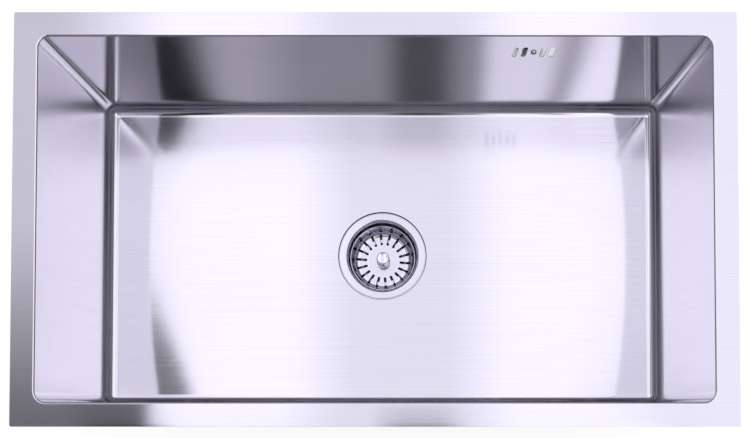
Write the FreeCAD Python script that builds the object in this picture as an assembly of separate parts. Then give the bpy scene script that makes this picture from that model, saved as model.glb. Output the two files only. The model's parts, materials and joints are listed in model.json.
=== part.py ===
"""Undermount kitchen sink: a pressed steel bowl with its basket strainer waste and overflow.

Frame: X runs left to right, Y from the front to the back, Z up. The origin is the centre of the
bowl's mouth on the flat top of the flange, which is the face that bonds to a worktop's underside.
Everything below is in millimetres.
"""
import FreeCAD, Part
import math
import os

V = FreeCAD.Vector
UP = V(0, 0, 1)

# Bowl and flange
bowl_length = 700.0       # inside, left to right
bowl_width = 380.0        # inside, front to back
bowl_depth = 220.0        # flange top to the edge of the floor
corner_radius = 12.0      # upright corners and floor edges, inside
flange_width = 25.0
flange_corner = 2.0
sheet = 1.2
lip_bend = 2.0            # where the flange turns down into the bowl
dish_drop = 4.0           # fall of the floor from its edges to the drain
seat_drop = 3.0           # round recess that the strainer's flange sits in
seat_slope = 0.5          # its wall leans out by this much for each millimetre of height
film = 0.1                # glue or primer under the pads and the coating
full_round = 0.999        # share of half a slot's width that its ends are rounded by

# Strainer cup
strainer_flange = 110.0   # outside diameter
flange_land = 8.5         # flat ring of the flange
throat_bend = 2.0         # inside radius from the flange into the cup's wall
strainer_sheet = 0.8
seat_clearance = 1.2      # between the flange and the wall of its recess
hole_clearance = 0.7      # between the cup and the hole in the floor
cup_gasket_height = 1.5
cup_gasket_clearance = 0.3 # between its bore and the cup's throat
cup_cone_height = 14.0
cup_cone_run = 13.0       # how far the cone draws the wall in
drain_ring_radius = 16.5
drain_opening = 11.0      # diameter of each opening in the cup's floor
drain_openings = 6

# Basket and its post
basket_drop = 40.0        # strainer flange to the basket's floor
basket_rim_drop = 15.0    # strainer flange to the basket's rim
basket_clearance = 1.9    # between its rim and the cup
basket_sheet = 0.7
basket_rim_roll = 1.6
basket_draft = 1.2        # how much narrower the basket's wall is at its foot
basket_curve = 12.0       # radius from the wall into the floor
slot_count = 18
slot_width = 3.4
slot_bearing = -4.5       # of the first slot, in degrees from +X
slot_start = 21.5         # from the axis
slot_margin = 3.0         # from the slot's end to the foot of the wall
post_radius = 8.2
post_height = 25.0
post_foot_radius = 8.8
post_foot_height = 9.0
post_chamfer = 0.8
post_wall = 2.1
post_room = 1.5           # above the spring clip, inside the post

# Stopper under the basket, and the bolt that it grips
turn_gap = 0.3
seal_height = 4.0
seal_radius = 22.0
seal_lip = 5.0            # how far the thin lip spreads beyond the seal's body
seal_lip_wall = 1.4
seal_plate_radius = 17.0
seal_plate_height = 1.0
clip_flange_radius = 9.0
clip_flange_height = 1.2
clip_radius = 5.6
clip_height = 9.0         # above its flange
clip_slot = 1.2
clip_lead = 0.8
bolt_radius = 4.0
bolt_head_radius = 7.0
bolt_head_height = 3.0
bolt_neck_radius = 2.5
bolt_ball_radius = 3.3
bolt_chamfer = 0.8
head_gap = 0.6

# Waste body
waste_gasket_height = 4.0
waste_flange_radius = 56.0
waste_flange_height = 4.0
waste_wall = 3.0
waste_gap = 2.2           # between the cup and the waste body's wall
waste_sink = 6.0          # room between the cup's floor and the funnel
funnel_height = 18.0
outlet_diameter = 47.8    # pipe thread of one and a half inches
outlet_wall = 3.4
outlet_length = 38.0
web_thickness = 3.0
web_height = 10.0
web_count = 3
rib_count = 8             # on the outside of the chamber
rib_thickness = 2.5
rib_reach = 5.0
boss_radius = 9.0
insert_radius = 6.0
insert_fit = 0.2
insert_drop = 2.0         # from the top of the funnel to the insert
thread_fit = 0.05
insert_height = 12.0
bolt_end = 4.0            # bolt showing below the insert

# Overflow
overflow_x = 170.0        # middle of the group of slots
overflow_z = -41.5
overflow_slot_width = 5.6
overflow_slot_height = 24.5
overflow_pitch = 10.0
overflow_per_side = 2
screw_radius = 2.0
screw_head_radius = 3.3
screw_head_height = 2.2
screw_shoulder_inset = 0.66  # the dome's middle, in from the edge of the head
screw_shoulder_drop = 0.55   # and below its top
screw_slot_width = 0.82
screw_slot_depth = 0.88
screw_clearance = 0.3
screw_tip_gap = 4.0       # from the screw's end to the back of the housing
overflow_gasket_depth = 2.0
overflow_gasket_band = 5.0
housing_length = 80.0
housing_height = 50.0
housing_rear = 2.0        # from the spigot to the back of the housing
housing_wall = 2.0
housing_corner = 6.0
housing_round = 3.0       # edge of the back face
housing_boss_radius = 4.5
spigot_radius = 10.5
spigot_wall = 2.0
spigot_length = 20.0

# Overflow hose and its nuts
hose_radius = 12.5        # over the ribs
rib_height = 1.3
hose_wall = 1.6
hose_pitch = 5.0
rib_valley = 0.5          # half of the flat between two ribs
rib_side = 1.0            # length of hose that a rib's side takes
hose_clearance = 1.5      # between the upper nut and the coated wall
hose_bend_radius = 46.0
hose_seal_height = 2.0
hose_nut_wall = 3.5
hose_nut_grip = 13.0      # how far a nut reaches over the hose
hose_nut_reach = 12.0     # how far it reaches over the spigot or the inlet
nut_end_wall = 3.0
nut_clearance = 0.3
nut_grips = 12
nut_grip_depth = 1.0
inlet_length = 30.0       # from the waste body's flange to the mouth of its inlet
inlet_drop = 12.5         # inlet's axis above the cup's floor

# Sound pads and coating
pad_thickness = 3.0
pad_corner = 12.0
pad_wall_margin = 70.0    # clear of the upright corners
pad_top = 60.0            # below the flange
pad_bottom = 35.0         # above the floor's edge
pad_drain_margin = 75.0   # from the drain's axis
pad_base_margin = 45.0
overflow_margin = 14.0    # bare steel round the overflow housing
coating = 0.8
coating_top = 14.0        # below the flange
coating_drain_margin = 9.0

# What follows from the sizes above
half_length = bowl_length / 2
half_width = bowl_width / 2
flange_radius = strainer_flange / 2
seat_radius = flange_radius + seat_clearance
throat_radius = flange_radius - flange_land
cup_radius = throat_radius - throat_bend
hole_radius = cup_radius + strainer_sheet + hole_clearance
seat_z = -(bowl_depth + dish_drop + seat_drop)
cup_flange_under = seat_z + cup_gasket_height
cup_flange_top = cup_flange_under + strainer_sheet
basket_floor = cup_flange_top - basket_drop
basket_rim = cup_flange_top - basket_rim_drop
seal_top = basket_floor - basket_sheet - turn_gap
plate_top = seal_top - seal_height
clip_top = plate_top - seal_plate_height
head_top = clip_top - clip_flange_height - head_gap
cup_floor = head_top - bolt_head_height
cup_floor_under = cup_floor - strainer_sheet
seat_under = seat_z - sheet
waste_top = seat_under - waste_gasket_height
waste_bore = cup_radius + strainer_sheet + waste_gap
funnel_top = cup_floor_under - waste_sink
outlet_top = funnel_top - funnel_height
outlet_end = outlet_top - outlet_length
outlet_radius = outlet_diameter / 2
insert_top = funnel_top - insert_drop
inlet_reach = waste_flange_radius + inlet_length
back_wall = half_width + sheet
hose_root_radius = hose_radius - rib_height
hose_bore_radius = hose_root_radius - hose_wall
nut_radius = hose_root_radius + nut_clearance + hose_nut_wall
hose_y = back_wall + film + coating + hose_clearance + nut_radius
housing_front = back_wall + overflow_gasket_depth
housing_back = hose_y + spigot_radius + housing_rear
housing_bottom = overflow_z - housing_height / 2
spigot_end = housing_bottom - spigot_length
inlet_z = cup_floor + inlet_drop
drain_bearing = math.atan2(hose_y, overflow_x)
inward = V(-math.cos(drain_bearing), -math.sin(drain_bearing), 0)
sideways = V(-inward.y, inward.x, 0)


def outline(start, *steps):
    """A closed face in the XZ plane. A step is a point, or the middle and the end of an arc."""
    place = lambda point: V(point[0], 0, point[1])
    edges = []
    here = place(start)
    for step in steps + (start,):
        if isinstance(step[0], tuple):
            middle, end = place(step[0]), place(step[1])
            edges.append(Part.Arc(here, middle, end).toShape())
        else:
            end = place(step)
            edges.append(Part.LineSegment(here, end).toShape())
        here = end
    return Part.Face(Part.Wire(edges))


def turned(start, *steps):
    """The outline, given as radius and height, turned once about the Z axis."""
    return outline(start, *steps).revolve(V(0, 0, 0), UP, 360)


def arc_step(centre, radius, start_deg, end_deg):
    """The middle and the end of an arc, as outline wants them."""
    angles = (math.radians((start_deg + end_deg) / 2), math.radians(end_deg))
    return tuple((centre[0] + radius * math.cos(a), centre[1] + radius * math.sin(a)) for a in angles)


def ring(inner, outer, bottom, top):
    """A flat ring or a plain tube about the Z axis."""
    return turned((inner, bottom), (outer, bottom), (outer, top), (inner, top))


def rounded_block(low, high, direction, radius):
    """A block from low to high, whose edges along direction are rounded."""
    size = high - low
    block = Part.makeBox(size.x, size.y, size.z, low)
    edges = [e for e in block.Edges if abs(e.tangentAt(e.FirstParameter).dot(direction)) > 0.99]
    return block.makeFillet(radius, edges)


def floor_patch(reach_x, reach_y, level):
    """The dished floor: a 5 by 5 net of poles on a flat grid, lowered inside its straight edges.

    Its height is level - dish_drop * (1 - u**4) * (1 - 0.75 * v**2 - 0.25 * v**4), so the fall
    turns in close to the sides and is gentler from the front and the back.
    """
    patch = Part.BezierSurface()
    patch.increase(4, 4)
    along = (0.0, 2.0, 0.0, 2.0, 0.0)
    across = (0.0, 1.25, 1.0, 1.25, 0.0)
    for i in range(5):
        for j in range(5):
            drop = dish_drop * along[i] * across[j]
            pole = V(reach_x * (i / 2 - 1), reach_y * (j / 2 - 1), level - drop)
            patch.setPole(i + 1, j + 1, pole)
    return patch.toShape()


def basin(offset, top):
    """The bowl's form grown outwards by offset, and closed at the height top."""
    half_x = half_length + offset
    half_y = half_width + offset
    radius = corner_radius + offset
    level = -(bowl_depth + offset)
    block = Part.makeBox(2 * half_x, 2 * half_y, top - level, V(-half_x, -half_y, level))
    below_top = [e for e in block.Edges if e.BoundBox.ZMin < top - 1]
    block = block.makeFillet(radius, below_top)
    flat = min(block.Faces, key=lambda face: face.CenterOfMass.z)
    faces = [face for face in block.Faces if not face.isSame(flat)]
    shell = Part.makeShell(faces + [floor_patch(half_x - radius, half_y - radius, level)])
    shell.sewShape()
    return Part.makeSolid(shell)


def seat(offset):
    """The round recess for the strainer's flange, grown outwards by offset."""
    lean = math.hypot(1, seat_slope)
    bottom = seat_z - offset
    height = dish_drop + seat_drop
    foot = seat_radius + offset * (lean - seat_slope)
    return Part.makeCone(foot, foot + seat_slope * height, height, V(0, 0, bottom))


def overflow_places():
    """The X of each overflow slot: the same number on each side of the screw."""
    steps = [s for s in range(-overflow_per_side, overflow_per_side + 1) if s]
    return [overflow_x + step * overflow_pitch for step in steps]


def bowl_shell():
    """Flange, walls and floor from one sheet, with the drain hole and the overflow slots."""
    half_x, half_y = half_length + flange_width, half_width + flange_width
    plate = rounded_block(V(-half_x, -half_y, -sheet), V(half_x, half_y, 0), UP, flange_corner)
    steel = plate.fuse(basin(sheet, 0)).fuse(seat(sheet)).removeSplitter()
    steel = steel.cut(basin(0, sheet)).cut(seat(0))
    steel = steel.cut(Part.makeCylinder(hole_radius, 4 * sheet, V(0, 0, seat_z - 2 * sheet)))
    steel = bend(steel, 0, half_length, half_width, lip_bend)
    steel = bend(steel, -sheet, half_length + sheet, half_width + sheet, lip_bend - sheet)
    slot_half = overflow_slot_width / 2
    for x in overflow_places():
        low = V(x - slot_half, half_width - sheet, overflow_z - overflow_slot_height / 2)
        high = V(x + slot_half, back_wall + sheet, overflow_z + overflow_slot_height / 2)
        steel = steel.cut(rounded_block(low, high, V(0, 1, 0), slot_half * full_round))
    start = V(overflow_x, half_width - sheet, overflow_z)
    return steel.cut(Part.makeCylinder(screw_radius + screw_clearance, 3 * sheet, start, V(0, 1, 0)))


def bend(steel, level, half_x, half_y, radius):
    """Round the loop of edges at this level that lies on the walls of a half_x by half_y bowl."""
    near = 0.01
    edges = [
        e for e in steel.Edges
        if abs(e.BoundBox.ZMin - level) < near and abs(e.BoundBox.ZMax - level) < near
        and max(abs(e.BoundBox.XMin), abs(e.BoundBox.XMax)) < half_x + near
        and max(abs(e.BoundBox.YMin), abs(e.BoundBox.YMax)) < half_y + near
    ]
    return steel.makeFillet(radius, edges)


def layer(thickness, top):
    """A layer of this thickness over the outside of the steel, open at the top."""
    inner = sheet + film
    return basin(inner + thickness, top).cut(basin(inner, top + 1))


def pad_blocks():
    """The footprint of each sound pad, as a block that reaches through the layer of pads."""
    out = sheet + film + 2 * pad_thickness
    side_x, side_y = half_length - pad_wall_margin, half_width - pad_wall_margin
    low_z, high_z = pad_bottom - bowl_depth, -pad_top
    base_x, base_y = half_length - pad_base_margin, half_width - pad_base_margin
    free_x = overflow_x - housing_length / 2 - overflow_margin
    along_x, along_y = V(1, 0, 0), V(0, 1, 0)
    far_x, far_y, deep = half_length + out, half_width + out, -(bowl_depth + dish_drop + out)
    return {
        "pad_base_left": (V(-base_x, -base_y, deep), V(-pad_drain_margin, base_y, -bowl_depth), UP),
        "pad_base_right": (V(pad_drain_margin, -base_y, deep), V(base_x, base_y, -bowl_depth), UP),
        "pad_wall_left": (V(-far_x, -side_y, low_z), V(-half_length, side_y, high_z), along_x),
        "pad_wall_right": (V(half_length, -side_y, low_z), V(far_x, side_y, high_z), along_x),
        "pad_wall_front": (V(-side_x, -far_y, low_z), V(side_x, -half_width, high_z), along_y),
        "pad_wall_back": (V(-side_x, half_width, low_z), V(free_x, far_y, high_z), along_y),
    }


def sound_pads():
    """Flat rubber pads that follow the steel that they are stuck to."""
    skin = layer(pad_thickness, -coating_top)
    return {
        name: skin.common(rounded_block(low, high, direction, pad_corner))
        for name, (low, high, direction) in pad_blocks().items()
    }


def undercoat():
    """The sprayed layer that stops dripping, left off round the pads, the drain and the overflow."""
    coat = layer(coating, -coating_top)
    for low, high, direction in pad_blocks().values():
        coat = coat.cut(rounded_block(low, high, direction, pad_corner))
    bare = seat_radius + seat_slope * (dish_drop + seat_drop) + coating_drain_margin
    coat = coat.cut(Part.makeCylinder(bare, bowl_depth, V(0, 0, seat_z - bowl_depth / 2)))
    reach_x = housing_length / 2 + overflow_margin
    reach_z = housing_height / 2 + overflow_margin
    low = V(overflow_x - reach_x, half_width, overflow_z - reach_z)
    high = V(overflow_x + reach_x, housing_back, overflow_z + reach_z)
    return coat.cut(rounded_block(low, high, V(0, 1, 0), pad_corner))


def cup_gasket():
    """The soft ring between the strainer's flange and its recess."""
    bore = throat_radius + cup_gasket_clearance
    return ring(bore, flange_radius - cup_gasket_height, seat_z, cup_flange_under)


def strainer_cup():
    """The pressed cup: a flat flange, a rounded throat, a straight wall and a cone to the floor."""
    t = strainer_sheet
    wall_end = cup_floor + cup_cone_height
    floor_radius = cup_radius - cup_cone_run
    throat = (throat_radius, cup_flange_top - throat_bend)
    outer_bend = throat_bend - t
    slant = t * cup_cone_run / (cup_cone_height + math.hypot(cup_cone_run, cup_cone_height))
    flare = t * cup_cone_height / (cup_cone_run + math.hypot(cup_cone_run, cup_cone_height))
    cup = turned(
        (0, cup_floor),
        (floor_radius, cup_floor),
        (cup_radius, wall_end),
        (cup_radius, throat[1]),
        arc_step(throat, throat_bend, 180, 90),
        (flange_radius, cup_flange_top),
        (flange_radius, cup_flange_under),
        (throat_radius, cup_flange_under),
        arc_step(throat, outer_bend, 90, 180),
        (cup_radius + t, wall_end - slant),
        (floor_radius + flare, cup_floor_under),
        (0, cup_floor_under),
    )
    through = 3 * t
    cutters = [Part.makeCylinder(bolt_radius + insert_fit, through, V(0, 0, cup_floor_under - t))]
    for i in range(drain_openings):
        angle = 2 * math.pi * i / drain_openings
        x, y = drain_ring_radius * math.cos(angle), drain_ring_radius * math.sin(angle)
        cutters.append(Part.makeCylinder(drain_opening / 2, through, V(x, y, cup_floor_under - t)))
    return cup.cut(cutters)


def basket():
    """The lift-out basket: a rolled rim, a drawn wall and floor, and radial slots round the foot."""
    t = basket_sheet
    rim_radius = cup_radius - basket_clearance
    foot_radius = rim_radius - basket_rim_roll - basket_draft
    roll = basket_rim_roll / 2
    roll_centre = (rim_radius - roll, basket_rim - roll)
    centre = (foot_radius - basket_curve, basket_floor + basket_curve)
    bowl = turned(
        (post_radius - post_wall, basket_floor - t),
        (centre[0], basket_floor - t),
        arc_step(centre, basket_curve + t, -90, 0),
        (rim_radius - basket_rim_roll + t, basket_rim - basket_rim_roll),
        (rim_radius - roll, basket_rim - basket_rim_roll),
        arc_step(roll_centre, roll, -90, 90),
        (rim_radius - basket_rim_roll, basket_rim),
        (foot_radius, centre[1]),
        arc_step(centre, basket_curve, 0, -90),
        (post_radius - post_wall, basket_floor),
    )
    half = slot_width / 2
    low = V(slot_start, -half, basket_floor - 2 * t)
    high = V(foot_radius - slot_margin, half, basket_rim - basket_rim_roll - t)
    cutters = []
    for i in range(slot_count):
        cutter = rounded_block(low, high, UP, half * full_round)
        cutter.rotate(V(0, 0, 0), UP, slot_bearing + 360.0 * i / slot_count)
        cutters.append(cutter)
    return bowl.cut(cutters)


def basket_post():
    """The knob that lifts the basket: hollow below, where the spring clip sits."""
    top = basket_floor + post_height
    step = basket_floor + post_foot_height
    bore = post_radius - post_wall
    bore_top = clip_top + clip_height + post_room
    return turned(
        (0, bore_top),
        (bore, bore_top),
        (bore, basket_floor),
        (post_foot_radius, basket_floor),
        (post_foot_radius, step - post_foot_radius + post_radius),
        (post_radius, step),
        (post_radius, top - post_chamfer),
        (post_radius - post_chamfer, top),
        (0, top),
    )


def stopper_seal():
    """The rubber seal: a thick disc whose thin lip spreads onto the cup's floor."""
    lip_end = cup_floor + turn_gap
    outer = seal_radius + seal_lip
    bore = clip_radius + turn_gap
    return turned(
        (bore, plate_top),
        (seal_radius - seal_lip_wall, plate_top),
        (outer - seal_lip_wall, lip_end),
        (outer, lip_end),
        (seal_radius, seal_top - seal_lip_wall),
        (seal_radius - seal_lip_wall, seal_top),
        (bore, seal_top),
    )


def seal_plate():
    """The steel washer between the seal and the spring clip's flange."""
    return ring(clip_radius + turn_gap, seal_plate_radius, clip_top, plate_top)


def spring_clip():
    """The split socket that snaps over the ball on the bolt and holds the seal from below."""
    ball = head_top + clip_height - bolt_ball_radius
    top = clip_top + clip_height
    bore = bolt_ball_radius + turn_gap
    clip = turned(
        (bore, clip_top - clip_flange_height),
        (clip_flange_radius, clip_top - clip_flange_height),
        (clip_flange_radius, clip_top),
        (clip_radius, clip_top),
        (clip_radius, top - clip_lead),
        (clip_radius - clip_lead, top),
        (bore, top),
    )
    low = V(-2 * clip_radius, -clip_slot / 2, clip_top + clip_flange_height)
    for turn in (0, 90):
        slot = Part.makeBox(4 * clip_radius, clip_slot, clip_height, low)
        slot.rotate(V(0, 0, 0), UP, turn)
        clip = clip.cut(slot)
    return clip


def clamp_bolt():
    """The long bolt that pulls the cup and the waste body together, with a ball on its head."""
    ball = head_top + clip_height - bolt_ball_radius
    end = insert_top - insert_height - bolt_end
    edge = bolt_chamfer
    stem = turned(
        (0, end),
        (bolt_radius - edge, end),
        (bolt_radius, end + edge),
        (bolt_radius, cup_floor),
        (bolt_head_radius, cup_floor),
        (bolt_head_radius, head_top - edge),
        (bolt_head_radius - edge, head_top),
        (bolt_neck_radius, head_top),
        (bolt_neck_radius, ball),
        (0, ball),
    )
    return stem.fuse(Part.makeSphere(bolt_ball_radius, V(0, 0, ball))).removeSplitter()


def insert_nut():
    """The brass hexagon that is moulded into the waste body's boss."""
    foot = V(0, 0, insert_top - insert_height)
    turns = [math.radians(60 * i) for i in range(7)]
    corners = [foot + V(math.cos(a), math.sin(a), 0) * insert_radius for a in turns]
    hexagon = Part.Face(Part.makePolygon(corners)).extrude(V(0, 0, insert_height))
    return hexagon.cut(Part.makeCylinder(bolt_radius + thread_fit, insert_height, foot))


def waste_gasket():
    """The thick soft ring between the underside of the floor and the waste body."""
    return ring(waste_bore, waste_flange_radius, waste_top, seat_under)


def waste_body():
    """The moulded body: a chamber round the cup, a funnel, a webbed boss and an inlet."""
    outer = waste_bore + waste_wall
    core = outer - waste_wall / 2
    narrow = outlet_radius - outlet_wall / 2
    chamber = turned(
        (waste_bore, waste_top),
        (waste_bore, funnel_top),
        (outlet_radius - outlet_wall, outlet_top),
        (outlet_radius, outlet_top),
        (outer, funnel_top),
        (outer, waste_top - waste_flange_height),
        (waste_flange_radius, waste_top - waste_flange_height),
        (waste_flange_radius, waste_top),
    )
    mouth = V(0, 0, inlet_z) - inward * inlet_reach
    inlet = Part.makeCylinder(spigot_radius, inlet_reach, mouth, inward)
    inlet = inlet.cut(Part.makeCylinder(core, outlet_length, V(0, 0, inlet_z - outlet_length / 2)))
    passage = Part.makeCylinder(spigot_radius - spigot_wall, inlet_reach, mouth, inward)
    foot = V(0, 0, insert_top - insert_height)
    webs = Part.makeCylinder(boss_radius, insert_height, foot)
    for i in range(web_count):
        low = V(0, -web_thickness / 2, insert_top - web_height)
        webs = webs.fuse(turned_box(core, web_thickness, web_height, low, i / web_count))
    inside = turned((0, outlet_top), (narrow, outlet_top), (core, funnel_top), (0, funnel_top))
    ribs = []
    for i in range(rib_count):
        low = V(core, -rib_thickness / 2, funnel_top)
        height = waste_top - waste_flange_height / 2 - funnel_top
        reach = outer + rib_reach - core
        ribs.append(turned_box(reach, rib_thickness, height, low, (i + 0.5) / rib_count))
    body = chamber.fuse([inlet, webs.common(inside)] + ribs).cut(passage)
    return body.cut(Part.makeCylinder(insert_radius + insert_fit, insert_height, foot))


def waste_spout():
    """The threaded outlet, welded to the foot of the waste body's funnel."""
    return ring(outlet_radius - outlet_wall, outlet_radius, outlet_end, outlet_top)


def turned_box(length, width, height, low, turn):
    """A box that starts at low and is then turned by a share of a full turn about the Z axis."""
    box = Part.makeBox(length, width, height, low)
    box.rotate(V(0, 0, 0), UP, 360.0 * turn)
    return box


def overflow_block(inset, front, back, radius):
    """A block over the overflow slots, smaller than the housing by inset all round."""
    x, z = housing_length / 2 - inset, housing_height / 2 - inset
    low, high = V(overflow_x - x, front, overflow_z - z), V(overflow_x + x, back, overflow_z + z)
    return rounded_block(low, high, V(0, 1, 0), radius)


def overflow_gasket():
    """The frame that seals the overflow housing to the back of the wall."""
    frame = overflow_block(0, back_wall, housing_front, housing_corner)
    hole_corner = housing_corner / 2
    return frame.cut(overflow_block(overflow_gasket_band, back_wall, housing_front, hole_corner))


def overflow_housing():
    """The moulded box behind the slots, open to the wall, with a screw boss and a spigot below."""
    outer = overflow_block(0, housing_front, housing_back, housing_corner)
    rear = [e for e in outer.Edges if e.BoundBox.YMin > housing_back - housing_wall / 2]
    outer = outer.makeFillet(housing_round, rear)
    inner = overflow_block(housing_wall, housing_front - housing_wall, housing_back - housing_wall,
                           housing_corner - housing_wall)
    start = V(overflow_x, back_wall, overflow_z)
    boss_length = housing_back - housing_wall / 2 - back_wall
    boss = Part.makeCylinder(housing_boss_radius, boss_length, start, V(0, 1, 0))
    pilot = Part.makeCylinder(screw_radius + thread_fit, boss_length - housing_wall, start, V(0, 1, 0))
    below = V(overflow_x, hose_y, spigot_end)
    spigot = Part.makeCylinder(spigot_radius, spigot_length + housing_wall / 2, below)
    bore = Part.makeCylinder(spigot_radius - spigot_wall, spigot_length + 2 * housing_wall, below)
    return outer.cut(inner).fuse([boss, spigot]).cut([bore, pilot])


def overflow_screw():
    """The screw in the middle of the slots: a low domed head inside the bowl and a plain shank."""
    head = screw_head_radius
    shank = housing_back - screw_tip_gap - half_width
    crown = shank + screw_head_height
    shoulder = (head - screw_shoulder_inset, crown - screw_shoulder_drop)
    screw = turned((0, 0), (screw_radius, 0), (screw_radius, shank), (head, shank),
                   (shoulder, (0, crown)))
    low = V(-head, -screw_slot_width / 2, crown - screw_slot_depth)
    screw = screw.cut(Part.makeBox(2 * head, screw_slot_width, screw_head_height, low))
    screw.rotate(V(0, 0, 0), V(1, 0, 0), 90)
    screw.translate(V(overflow_x, half_width + shank, overflow_z))
    return screw


def hose_route():
    """Lengths of the hose's drop, bend and run, and its point and heading at any distance along."""
    top = spigot_end - hose_seal_height
    run_end = inlet_reach + hose_seal_height
    plan = math.hypot(overflow_x, hose_y)
    drop = top - inlet_z - hose_bend_radius
    turn = math.pi / 2 * hose_bend_radius
    run = plan - hose_bend_radius - run_end
    start = V(overflow_x, hose_y, top)

    def place(s):
        if s <= drop:
            return start - UP * s, -UP
        if s <= drop + turn:
            angle = (s - drop) / hose_bend_radius
            shift = inward * (hose_bend_radius * (1 - math.cos(angle)))
            point = start - UP * (drop + hose_bend_radius * math.sin(angle)) + shift
            return point, inward * math.sin(angle) - UP * math.cos(angle)
        rest = s - drop - turn
        point = start - UP * (drop + hose_bend_radius) + inward * (hose_bend_radius + rest)
        return point, inward

    return drop, turn, run, place


def circle_at(point, heading, radius):
    """A circle square to heading, that starts in the same direction all along the hose."""
    circle = Part.Circle(point, heading, radius)
    circle.XAxis = sideways
    return Part.Wire(circle.toShape())


def overflow_hose():
    """The ribbed hose: a ruled loft through four circles a rib, with a smooth bore."""
    drop, turn, run, place = hose_route()
    length = drop + turn + run
    plain = 2 * hose_radius
    count = int((length - 2 * plain) / hose_pitch)
    pitch = (length - 2 * plain) / count
    stations = [(0.0, hose_root_radius)]
    for i in range(count):
        start, end = plain + i * pitch + rib_valley, plain + (i + 1) * pitch - rib_valley
        stations += [(start, hose_root_radius), (start + rib_side, hose_radius),
                     (end - rib_side, hose_radius), (end, hose_root_radius)]
    stations.append((length, hose_root_radius))
    outside = Part.makeLoft([circle_at(*place(s), radius) for s, radius in stations], True, True)
    bore_stations = [0.0] + [plain + i * pitch for i in range(count + 1)] + [length]
    inside = Part.makeLoft([circle_at(*place(s), hose_bore_radius) for s in bore_stations], True, True)
    print("hose length", round(length, 1), "ribs", count)
    return outside.cut(inside)


def hose_ends():
    """The place and the outward heading of the spigot's mouth and of the inlet's mouth."""
    upper = (V(overflow_x, hose_y, spigot_end), -UP)
    lower = (V(0, 0, inlet_z) - inward * inlet_reach, -inward)
    return {"upper": upper, "lower": lower}


def hose_seal(mouth, heading):
    """A flat washer between the mouth and the end of the hose."""
    washer = Part.makeCylinder(hose_root_radius, hose_seal_height, mouth, heading)
    return washer.cut(Part.makeCylinder(hose_bore_radius, hose_seal_height, mouth, heading))


def hose_nut(mouth, heading):
    """The nut that draws the hose onto the mouth: a sleeve with finger grips and an end wall."""
    back = mouth - heading * hose_nut_reach
    length = hose_nut_reach + hose_seal_height + hose_nut_grip
    nut = Part.makeCylinder(nut_radius, length, back, heading)
    inside = back + heading * nut_end_wall
    nut = nut.cut(Part.makeCylinder(hose_root_radius + nut_clearance, length, inside, heading))
    nut = nut.cut(Part.makeCylinder(spigot_radius + nut_clearance, length, back, heading))
    side = sideways * (nut_radius + nut_grip_depth)
    for i in range(nut_grips):
        turn = FreeCAD.Rotation(heading, 360.0 * i / nut_grips)
        nut = nut.cut(Part.makeCylinder(2 * nut_grip_depth, length, back + turn.multVec(side), heading))
    return nut


def build():
    """Every node of the sink, by name."""
    nodes = {
        "bowl_shell": bowl_shell(),
        "undercoat": undercoat(),
        "cup_gasket": cup_gasket(),
        "strainer_cup": strainer_cup(),
        "basket": basket(),
        "basket_post": basket_post(),
        "stopper_seal": stopper_seal(),
        "seal_plate": seal_plate(),
        "spring_clip": spring_clip(),
        "clamp_bolt": clamp_bolt(),
        "insert_nut": insert_nut(),
        "waste_gasket": waste_gasket(),
        "waste_body": waste_body(),
        "waste_spout": waste_spout(),
        "overflow_gasket": overflow_gasket(),
        "overflow_housing": overflow_housing(),
        "overflow_screw": overflow_screw(),
        "overflow_hose": overflow_hose(),
    }
    nodes.update(sound_pads())
    for name, (mouth, heading) in hose_ends().items():
        nodes["hose_seal_" + name] = hose_seal(mouth, heading)
        nodes["hose_nut_" + name] = hose_nut(mouth, heading)
    return nodes


os.makedirs("parts", exist_ok=True)
for node, shape in build().items():
    shape.exportStep("parts/" + node + ".step")
    print(node, "solids", len(shape.Solids), "valid", shape.isValid(), "volume", round(shape.Volume))
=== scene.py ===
"""Dressed model of an undermount kitchen sink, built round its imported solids.

X runs left to right, Y from the front to the back, Z up, and the origin is the middle of the bowl's
mouth on the flange's top. Lengths are in metres. Each shape is a surface worked out as whole numpy
arrays: a grid of points over two parameters, or a profile turned or carried along a path.
"""

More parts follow.
